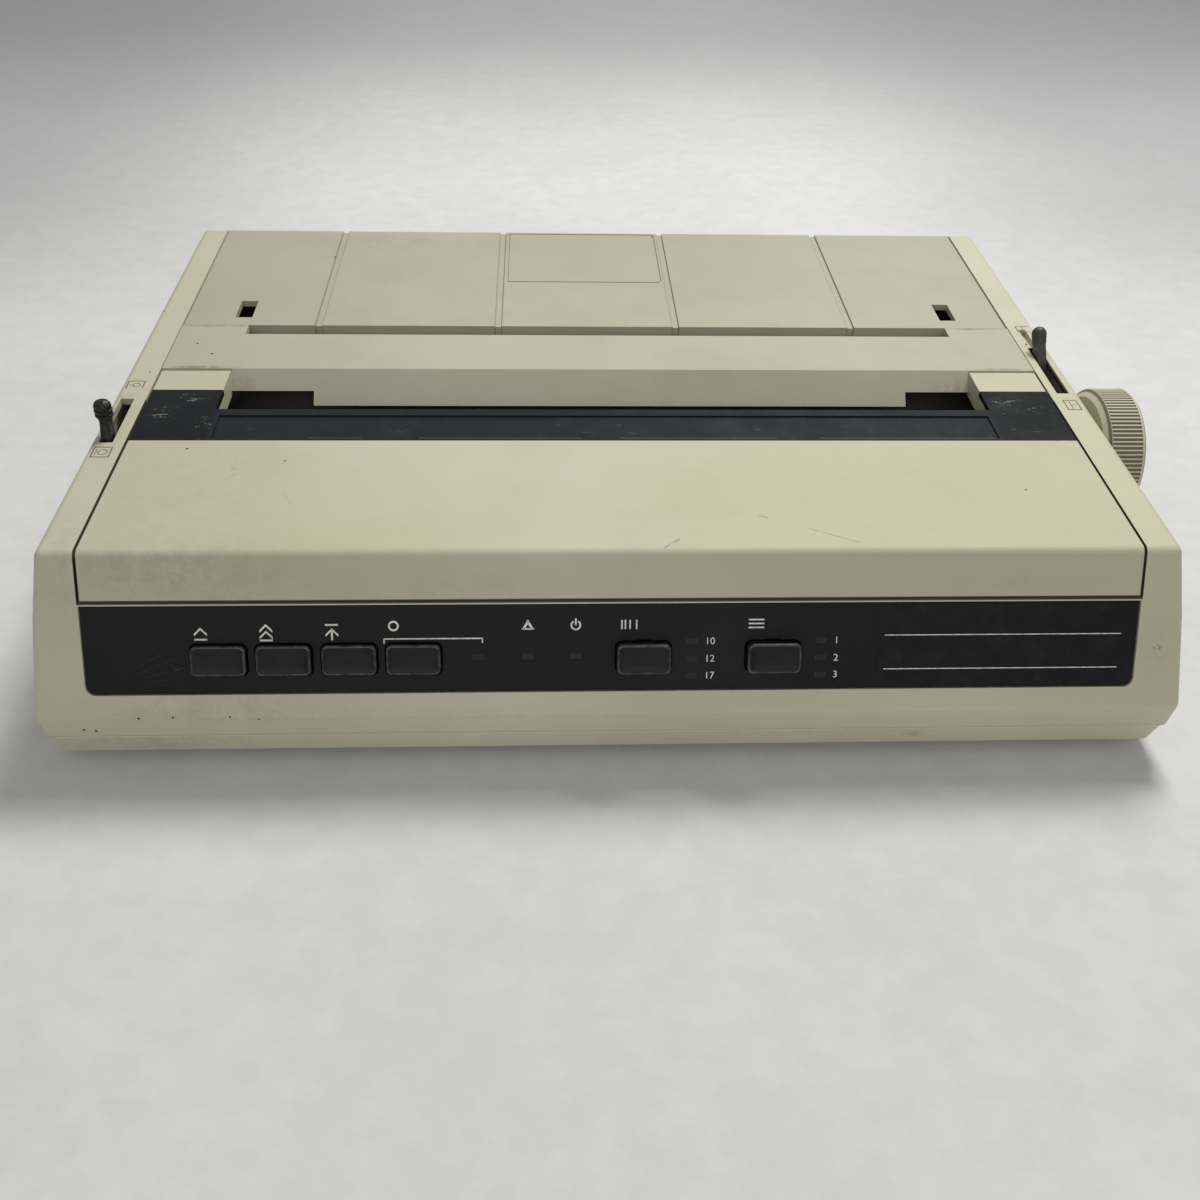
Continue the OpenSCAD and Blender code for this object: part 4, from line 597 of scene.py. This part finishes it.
def key_cap(name, x, proud):
    """A cap that replaces its key, with its rim a distance proud of the nose."""
    rows = [(0, -6), (0, proud - 0.75), (0.1, proud - 0.35), (0.35, proud - 0.1), (0.75, proud),
            (1.15, proud - 0.03), (1.7, proud - 0.28), (2.4, proud - 0.38), (3.4, proud - 0.42)]
    loops = [cap_loop(x, inset, out) for inset, out in rows]
    piece = lofted(name + "_cap", [loops], key_finish, name)
    piece.data.materials.append(rim_highlight_finish.material)
    for index, face in enumerate(piece.data.polygons):
        face.use_smooth = len(face.vertices) == 4
        face.material_index = int(index // len(loops[0]) in rim_rows)
    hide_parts(name)


low_cap, tall_cap = 1.4, 3.2
for name, x, proud in (("line_feed_key", -126.4, low_cap), ("form_feed_key", -106.1, low_cap),
                       ("top_set_key", -85.6, low_cap), ("select_key", -65.4, low_cap),
                       ("pitch_key", 7.6, tall_cap), ("mode_key", 49.3, tall_cap)):
    key_cap(name, x, proud)

# The window is a strip of smoked acrylic, glossy and scuffed, painted solid at its ends and
# bonded to the cover. Thin rules are printed along it and have mostly worn off.
window_finish = Finish("smoked_acrylic", paint(27, 33, 37), 0.2, Specular_IOR_Level=0.22)
window_x, _, _ = window_finish.axes()
ends = window_finish.band(window_x, case_mid, 0.1405, 0.1425)
film = window_finish.noise(60, 5, 0.65)
hairs = window_finish.noise(520, 3, 0.55, window_finish.stretched((3.2, 1.0, 1.0)))
flecks = window_finish.noise(1300, 2, 0.6)
scratchy = window_finish.step(hairs, 0.66, 0.72) * window_finish.step(film, 0.45, 0.6)
glass = window_finish.mix(ends, paint(27, 34, 39), paint(17, 20, 22))
glass = window_finish.mix(window_finish.step(film, 0.45, 0.85) * 0.3, glass, paint(46, 54, 59))
glass = window_finish.mix(scratchy * (ends * 0.3 + 0.1), glass, paint(128, 132, 130))
for scuffed, wide, long in ((on_top(152, -24, 0), 13, 5), (on_top(160, -29, 0), 8, 4),
                            (on_top(-153, -22, 0), 10, 6), (on_top(-146, -40, 0), 8, 6),
                            (on_top(-160, -33, 0), 7, 9)):
    patch = window_finish.spot(scuffed, Vector((wide, long, 4)) * mm)
    patch = patch * window_finish.step(hairs * 0.6 + flecks * 0.4, 0.56, 0.62)
    glass = window_finish.mix(patch * 0.6, glass, paint(158, 160, 154))
window_finish.feed("Base Color", glass)
window_finish.feed("Roughness", 0.18 + film * 0.2 + scratchy * 0.3)
dress(window_finish, "cover_window")
rule_finish = Finish("worn_rule", paint(104, 108, 110), 0.5)
rule_finish.feed("Base Color", rule_finish.mix(rule_finish.noise(500, 4, 0.7), paint(44, 50, 54),
                                               paint(118, 124, 127)))
rule_spans = ((-106.5, -88), (-67.7, -10.6), (3.4, 59.3), (75.3, 138.5))
plates("window_rules", [bar(x0, x1, -48.6, -48.35) for x0, x1 in rule_spans],
       on_top, -0.65, -0.57, rule_finish, "cover")

# The levers are flat moulded arms, each fixed to what it turns and rising through its slot
# in a rail. The bail lever is black with a knurled tip, and the release lever dark grey.
bail_lever_finish = Finish("lever_black", paint(26, 26, 25), 0.4, Specular_IOR_Level=0.35)
knurl = bail_lever_finish.node("ShaderNodeTexVoronoi", None,
                               {"Vector": bail_lever_finish.place, "Scale": 620})
bail_lever_finish.vary(knurl, paint(20, 20, 20), paint(42, 41, 39), 0.3, 0.3)
bail_lever_finish.relief(knurl, 0.0005, 0.7)
dress(bail_lever_finish, "bail_lever")
release_lever_finish = Finish("lever_grey", paint(62, 61, 55), 0.45)
release_lever_finish.feed("Base Color", release_lever_finish.mix(
    release_lever_finish.noise(80, 4), paint(52, 51, 47), paint(74, 72, 66)))
release_lever_finish.feed("Roughness", 0.38 + release_lever_finish.noise(300, 3) * 0.2)
release_lever_finish.relief(release_lever_finish.noise(1500, 2), 0.00005, 0.5)
dress(release_lever_finish, "release_lever")

# Beside each lever slot two plain signs, open and shut for the paper, are sunk in the rail
# by the mould. Grime has settled in their lines.
sunk_finish = Finish("sunk_sign", paint(104, 92, 62), 0.7)
sunk_finish.feed("Base Color", sunk_finish.mix(sunk_finish.noise(700, 4), paint(78, 68, 44),
                                               paint(140, 128, 98)))


def sign_frame(x, y, wide, deep):
    """The four bars of a sign's frame: front, rear, left and right."""
    thick = 0.45
    return [bar(x - wide, x + wide, y - deep, y - deep + thick),
            bar(x - wide, x + wide, y + deep - thick, y + deep),
            bar(x - wide, x - wide + thick, y - deep + thick, y + deep - thick),
            bar(x + wide - thick, x + wide, y - deep + thick, y + deep - thick)]


signs = sign_frame(-174.9, -58.5, 3.2, 3.3) + ring(-174.6, -58.5, 1.7, 1.35)
signs += [bar(-177.0, -176.7, -60.6, -56.4)]
signs += sign_frame(-174.9, -12.6, 3.2, 3.0)[1:] + ring(-174.4, -12.8, 1.5, 1.15)
signs += [bar(-177.2, -175.6, -13.0, -12.6)]
signs += sign_frame(174.6, -26.0, 2.7, 3.6)
signs += [bar(174.0, 174.35, -28.8, -23.2), bar(174.35, 176.4, -26.2, -25.9)]
signs += sign_frame(174.6, 35, 2.7, 2.6)[:3] + [bar(174.4, 174.7, 33, 37)]
plates("rail_signs", signs, on_top, -0.03, 0.025, sunk_finish, "case")

# The platen knob is moulded in the case's ABS and pressed onto the platen's shaft, with painted shade
# between its ribs.
knob_finish = beige_abs("knob_abs_aged", tone=(212, 210, 187))
_, knob_y, knob_z = knob_finish.axes()
axle_y, axle_z = -0.01949, 0.0507
from_axle = ((knob_y - axle_y) ** 2.0 + (knob_z - axle_z) ** 2.0) ** 0.5
# Painted shade: the knob is painted darker between its ribs.
between_ribs = knob_finish.step(from_axle, 0.02465, 0.0244) * knob_finish.step(from_axle, 0.0232, 0.0238)
over(knob_finish, between_ribs * 0.78, paint(82, 74, 54))
dress(knob_finish, "platen_knob")

# Side plates, base, bail arms, chute and pressure frame are cut and bent from zinc-plated
# steel sheet and fixed together. It is dull, with a rolled grain and pale blotches.
zinc_finish = Finish("zinc_sheet", paint(158, 158, 152), 0.45, Metallic=0.85)
rolled = zinc_finish.noise(160, 4, 0.6, zinc_finish.stretched((8, 8, 1)))
blotch = zinc_finish.noise(26, 4, 0.6)
grained = zinc_finish.mix(rolled, paint(146, 145, 138), paint(176, 176, 170))
zinc_finish.feed("Base Color", zinc_finish.mix(blotch, grained, paint(168, 160, 138), "MULTIPLY"))
zinc_finish.feed("Roughness", 0.34 + blotch * 0.28)
zinc_finish.relief(rolled, 0.00004, 0.5)
dress(zinc_finish, "chassis_base", "side_plates", "bail_arms", "pressure_frame", "paper_chute")

# Shafts, rods and the platen's core are ground bright and held between the side plates.
# They are oiled, and lightly scored round.
shaft_finish = Finish("ground_steel", paint(196, 197, 198), 0.22, Metallic=1.0)
turned = shaft_finish.noise(900, 3, 0.6, shaft_finish.stretched((1, 30, 30)))
shaft_finish.feed("Base Color", shaft_finish.mix(turned, paint(176, 177, 178), paint(212, 213, 214)))
shaft_finish.feed("Roughness", 0.14 + shaft_finish.noise(40, 4) * 0.22)
shaft_finish.relief(turned, 0.00002, 0.4)
dress(shaft_finish, "guide_shaft", "pressure_pivot", "idler_stub", "bail_bar", "release_shaft",
      "platen_shaft", "platen_core")

# The platen's sleeve, the rollers and the feet are hard black rubber, and the sleeve is
# ground true on its core. Paper dust greys them in rings.
rubber_finish = Finish("hard_rubber", paint(32, 32, 33), 0.62, Specular_IOR_Level=0.35)
rings = rubber_finish.noise(130, 4, 0.6, rubber_finish.stretched((1, 14, 14)))
paper_dust = rubber_finish.noise(900, 3, 0.6)
dusty = rubber_finish.step(rings, 0.4, 0.75) * rubber_finish.step(paper_dust, 0.35, 0.7) * 0.6
rubber_finish.feed("Base Color", rubber_finish.mix(dusty, paint(28, 28, 29), paint(96, 95, 92)))
rubber_finish.feed("Roughness", 0.5 + rings * 0.25)
rubber_finish.relief(paper_dust, 0.00005, 0.4)
dress(rubber_finish, "platen_sleeve", "bail_rollers", "front_pressure_rollers", "rear_pressure_rollers",
      "feet")

# Gears, bushes and the rack are moulded in natural acetal, with grey grease at the teeth.
# The two small pinions are turned brass, pressed onto their motors' shafts.
acetal_finish = Finish("acetal", paint(226, 220, 200), 0.36)
grease = acetal_finish.noise(240, 4, 0.6)
acetal_finish.feed("Base Color", acetal_finish.mix(acetal_finish.step(grease, 0.5, 0.75) * 0.6,
                                                   paint(226, 220, 200), paint(138, 130, 112)))
acetal_finish.feed("Roughness", 0.26 + grease * 0.25)
acetal_finish.relief(grease, 0.0001, 0.3)
dress(acetal_finish, "platen_gear", "idler_gear", "platen_bushes")
rack_finish = beige_abs("rack_acetal", tone=(201, 196, 176))
dress(rack_finish, "spacing_rack")
brass_finish = Finish("turned_brass", paint(196, 164, 92), 0.28, Metallic=1.0)
brass_finish.vary(brass_finish.noise(1400, 3, 0.6), paint(172, 140, 74), paint(212, 182, 112), 0.2, 0.25)
dress(brass_finish, "feed_pinion", "spacing_pinion")

# Motor cans are drawn steel with a grey passivated skin, screwed to the side plate and to
# the carriage.
can_finish = Finish("motor_can", paint(104, 106, 108), 0.4, Metallic=0.8)
can_finish.vary(can_finish.noise(70, 5, 0.6), paint(84, 86, 88), paint(128, 130, 131), 0.3, 0.3)
can_finish.relief(can_finish.noise(800, 3), 0.00004, 0.5)
dress(can_finish, "feed_motor", "spacing_motor")

# The carriage is moulded in glass-filled black plastic and rides on the guide shaft. The
# head fixed to it has fins of black die-casting, rubbed bright at their rims.
carriage_finish = Finish("glass_filled_black", paint(44, 45, 47), 0.52)
fibres = carriage_finish.noise(900, 4, 0.7, carriage_finish.stretched((2.5, 1, 1)))
carriage_finish.vary(fibres, paint(36, 37, 39), paint(60, 61, 62), 0.42, 0.25)
carriage_finish.relief(fibres, 0.00006, 0.5)
dress(carriage_finish, "carriage")
head_finish = Finish("die_cast_black", paint(30, 31, 33), 0.4, Metallic=0.3)
casting = head_finish.noise(350, 4, 0.6)
head_finish.feed("Base Color", head_finish.mix(head_finish.step(casting, 0.55, 0.75) * 0.6,
                                               paint(28, 29, 31), paint(92, 92, 92)))
head_finish.feed("Roughness", 0.32 + casting * 0.3)
head_finish.relief(casting, 0.00008, 0.5)
dress(head_finish, "print_head")

# The ribbon cartridge is thin black polystyrene clipped onto the carriage, its ribbon inked
# nylon tape, and the knob that tightens it blue.
cartridge_finish = Finish("cartridge_black", paint(40, 41, 44), 0.34)
cartridge_finish.vary(cartridge_finish.noise(50, 4, 0.6), paint(34, 35, 38), paint(52, 53, 56), 0.24, 0.25)
dress(cartridge_finish, "ribbon_cartridge")
tape_finish = Finish("inked_nylon", paint(18, 18, 22), 0.55)
weave = tape_finish.noise(2600, 2, 0.5, tape_finish.stretched((1, 1, 0.3)))
tape_finish.feed("Base Color", tape_finish.mix(weave, paint(12, 12, 16), paint(36, 36, 42)))
tape_finish.relief(weave, 0.00005, 0.6)
dress(tape_finish, "ribbon")
blue_finish = Finish("knob_blue", paint(66, 96, 150), 0.4)
blue_finish.feed("Base Color", blue_finish.mix(blue_finish.noise(120, 4), paint(56, 86, 138),
                                               paint(80, 110, 162)))
blue_finish.feed("Roughness", 0.3 + blue_finish.noise(300, 3) * 0.25)
dress(blue_finish, "ribbon_knob")

# The boards are green glass-epoxy with tinned tracks, one held in the tray and one behind
# the panel. Their parts are black epoxy packages, and the tall ones are bright on top.
board_green = Finish("circuit_board", paint(46, 92, 58), 0.38, Coat_Weight=0.3)
tracks = board_green.node("ShaderNodeTexBrick", {"offset": 0.35, "squash": 1.6}, {
    "Vector": board_green.place, "Scale": 42.0, "Mortar Size": 0.035,
    "Color1": (0, 0, 0, 1), "Color2": (0.25, 0.25, 0.25, 1), "Mortar": (1, 1, 1, 1)}, "Color")
laminate = board_green.mix(board_green.noise(30, 4), paint(36, 80, 48), paint(54, 104, 66))
board_green.feed("Base Color", board_green.mix(tracks, laminate, paint(88, 136, 84)))
board_green.feed("Roughness", 0.28 + board_green.noise(200, 3) * 0.25)
dress(board_green, "main_board", "panel_board")
package_finish = Finish("epoxy_package", paint(34, 35, 37), 0.5)
_, _, package_z = package_finish.axes()
epoxy = package_finish.noise(500, 4)
moulding = package_finish.mix(epoxy, paint(28, 29, 31), paint(50, 50, 52))
can_tops = package_finish.step(package_z, 0.0325, 0.0335)
package_finish.feed("Base Color", package_finish.mix(can_tops, moulding, paint(150, 150, 150)))
package_finish.feed("Roughness", 0.36 + epoxy * 0.3)
dress(package_finish, "board_parts")

# The transformer is a varnished stack of iron sheets round a winding in yellow tape, and
# stands in the tray on its feet.
iron_finish = Finish("varnished_iron", paint(92, 84, 74), 0.45)
_, iron_y, iron_z = iron_finish.axes()
coil_low, coil_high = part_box("transformer")
coil_deep = coil_high.y - coil_low.y
on_winding = iron_finish.band(iron_y, (coil_low.y + coil_high.y) / 2, coil_deep * 0.27, coil_deep * 0.275)
above_feet = iron_finish.step(iron_z, 0.0145, 0.015)
sheets = iron_finish.noise(1200, 2, 0.5, iron_finish.stretched((40, 1, 40)))
core_tone = iron_finish.mix(sheets, paint(70, 62, 54), paint(118, 108, 96))
tape_tone = iron_finish.mix(iron_finish.noise(60, 4), paint(178, 150, 72), paint(202, 176, 98))
iron_finish.feed("Base Color", iron_finish.mix(on_winding * above_feet, core_tone, tape_tone))
iron_finish.feed("Roughness", 0.36 + sheets * 0.25)
iron_finish.relief(sheets, 0.0001, 0.6)
dress(iron_finish, "transformer")

# The mains inlet, the switch and its rocker are moulded in glossy black and set into the
# rear wall. The rocker has its two signs printed, and the inlet three nickel pins.
socket_finish = Finish("socket_black", paint(30, 30, 31), 0.3)
socket_finish.vary(socket_finish.noise(180, 4), paint(24, 24, 25), paint(42, 42, 42), 0.22, 0.2)
dress(socket_finish, "power_inlet", "switch_housing", "power_rocker")
rocker_low, rocker_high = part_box("power_rocker")
rocker_mid = (rocker_low + rocker_high) / 2
rocker_dip = 1.2


def on_rocker(x, rise, out):
    """A point on the rocker's two sloping halves: across, up from its middle, and out."""
    slope = rocker_dip * abs(rise) * mm / (rocker_high.z - rocker_mid.z)
    return Vector((rocker_mid.x + x * mm, rocker_high.y + (slope - rocker_dip + out) * mm,
                   rocker_mid.z + rise * mm))


def blade(x, z, wide, tall, back, front, chamfer):
    """A contact that stands out of a socket's floor, with its tip chamfered."""
    loops = []
    for y, inset in ((back, 0), (front - chamfer, 0), (front, chamfer * 0.5)):
        across, upward = (wide / 2 - inset) * mm, (tall / 2 - inset) * mm
        loops.append([Vector((x + i * across, y * mm, z + k * upward))
                      for i, k in ((-1, -1), (1, -1), (1, 1), (-1, 1))])
    return loops


plates("rocker_signs", [bar(-0.35, 0.35, 2.6, 5.4)] + ring(0, -4, 1.6, 1.0), on_rocker, -0.05, 0.04,
       print_finish, "power_rocker")
nickel_finish = Finish("nickel_shell", paint(170, 170, 166), 0.3, Metallic=0.95)
nickel_finish.vary(nickel_finish.noise(140, 5, 0.6), paint(150, 150, 146), paint(188, 188, 184), 0.22, 0.25)
inlet_low, inlet_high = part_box("power_inlet")
inlet_mid, inlet_rear = (inlet_low + inlet_high) / 2, inlet_high.y / mm
inlet_pins = [blade(inlet_mid.x + x * mm, inlet_mid.z + z * mm, 2, 4, inlet_rear - 19, inlet_rear - 6, 1.2)
              for x, z in ((-7, -1.6), (0, 2.4), (7, -1.6))]
lofted("inlet_pins", inlet_pins, nickel_finish, "case")

# The parallel connector has a drawn shell of nickel plate, set into the rear wall, round
# two rows of gilt contacts.
dress(nickel_finish, "parallel_connector")
contact_finish = Finish("contact_gilt", paint(206, 176, 104), 0.28, Metallic=1.0)
contact_finish.vary(contact_finish.noise(900, 4, 0.6), paint(172, 142, 82), paint(222, 192, 122), 0.2, 0.25)
port_low, port_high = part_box("parallel_connector")
port_x, port_z, port_rear = (port_low.x + port_high.x) / 2, port_high.z - 0.008, port_high.y / mm
contact_pitch, contacts_a_row, row_half = 2.16, 18, 2.0
port_contacts = [blade(port_x + (k - (contacts_a_row - 1) / 2) * contact_pitch * mm,
                       port_z + side * row_half * mm, 1.1, 0.7, port_rear - 10, port_rear - 1.6, 0.3)
                 for k in range(contacts_a_row) for side in (-1, 1)]
lofted("port_contacts", port_contacts, contact_finish, "case")

# The screws that hold the case and the chassis are steel, plated with yellowed zinc and
# scuffed by the driver.
screw_finish = Finish("zinc_screw", paint(150, 146, 128), 0.35, Metallic=0.9)
screw_finish.vary(screw_finish.noise(300, 4), paint(128, 124, 106), paint(170, 166, 150), 0.26, 0.25)
dress(screw_finish, "case_screws", "chassis_screws")
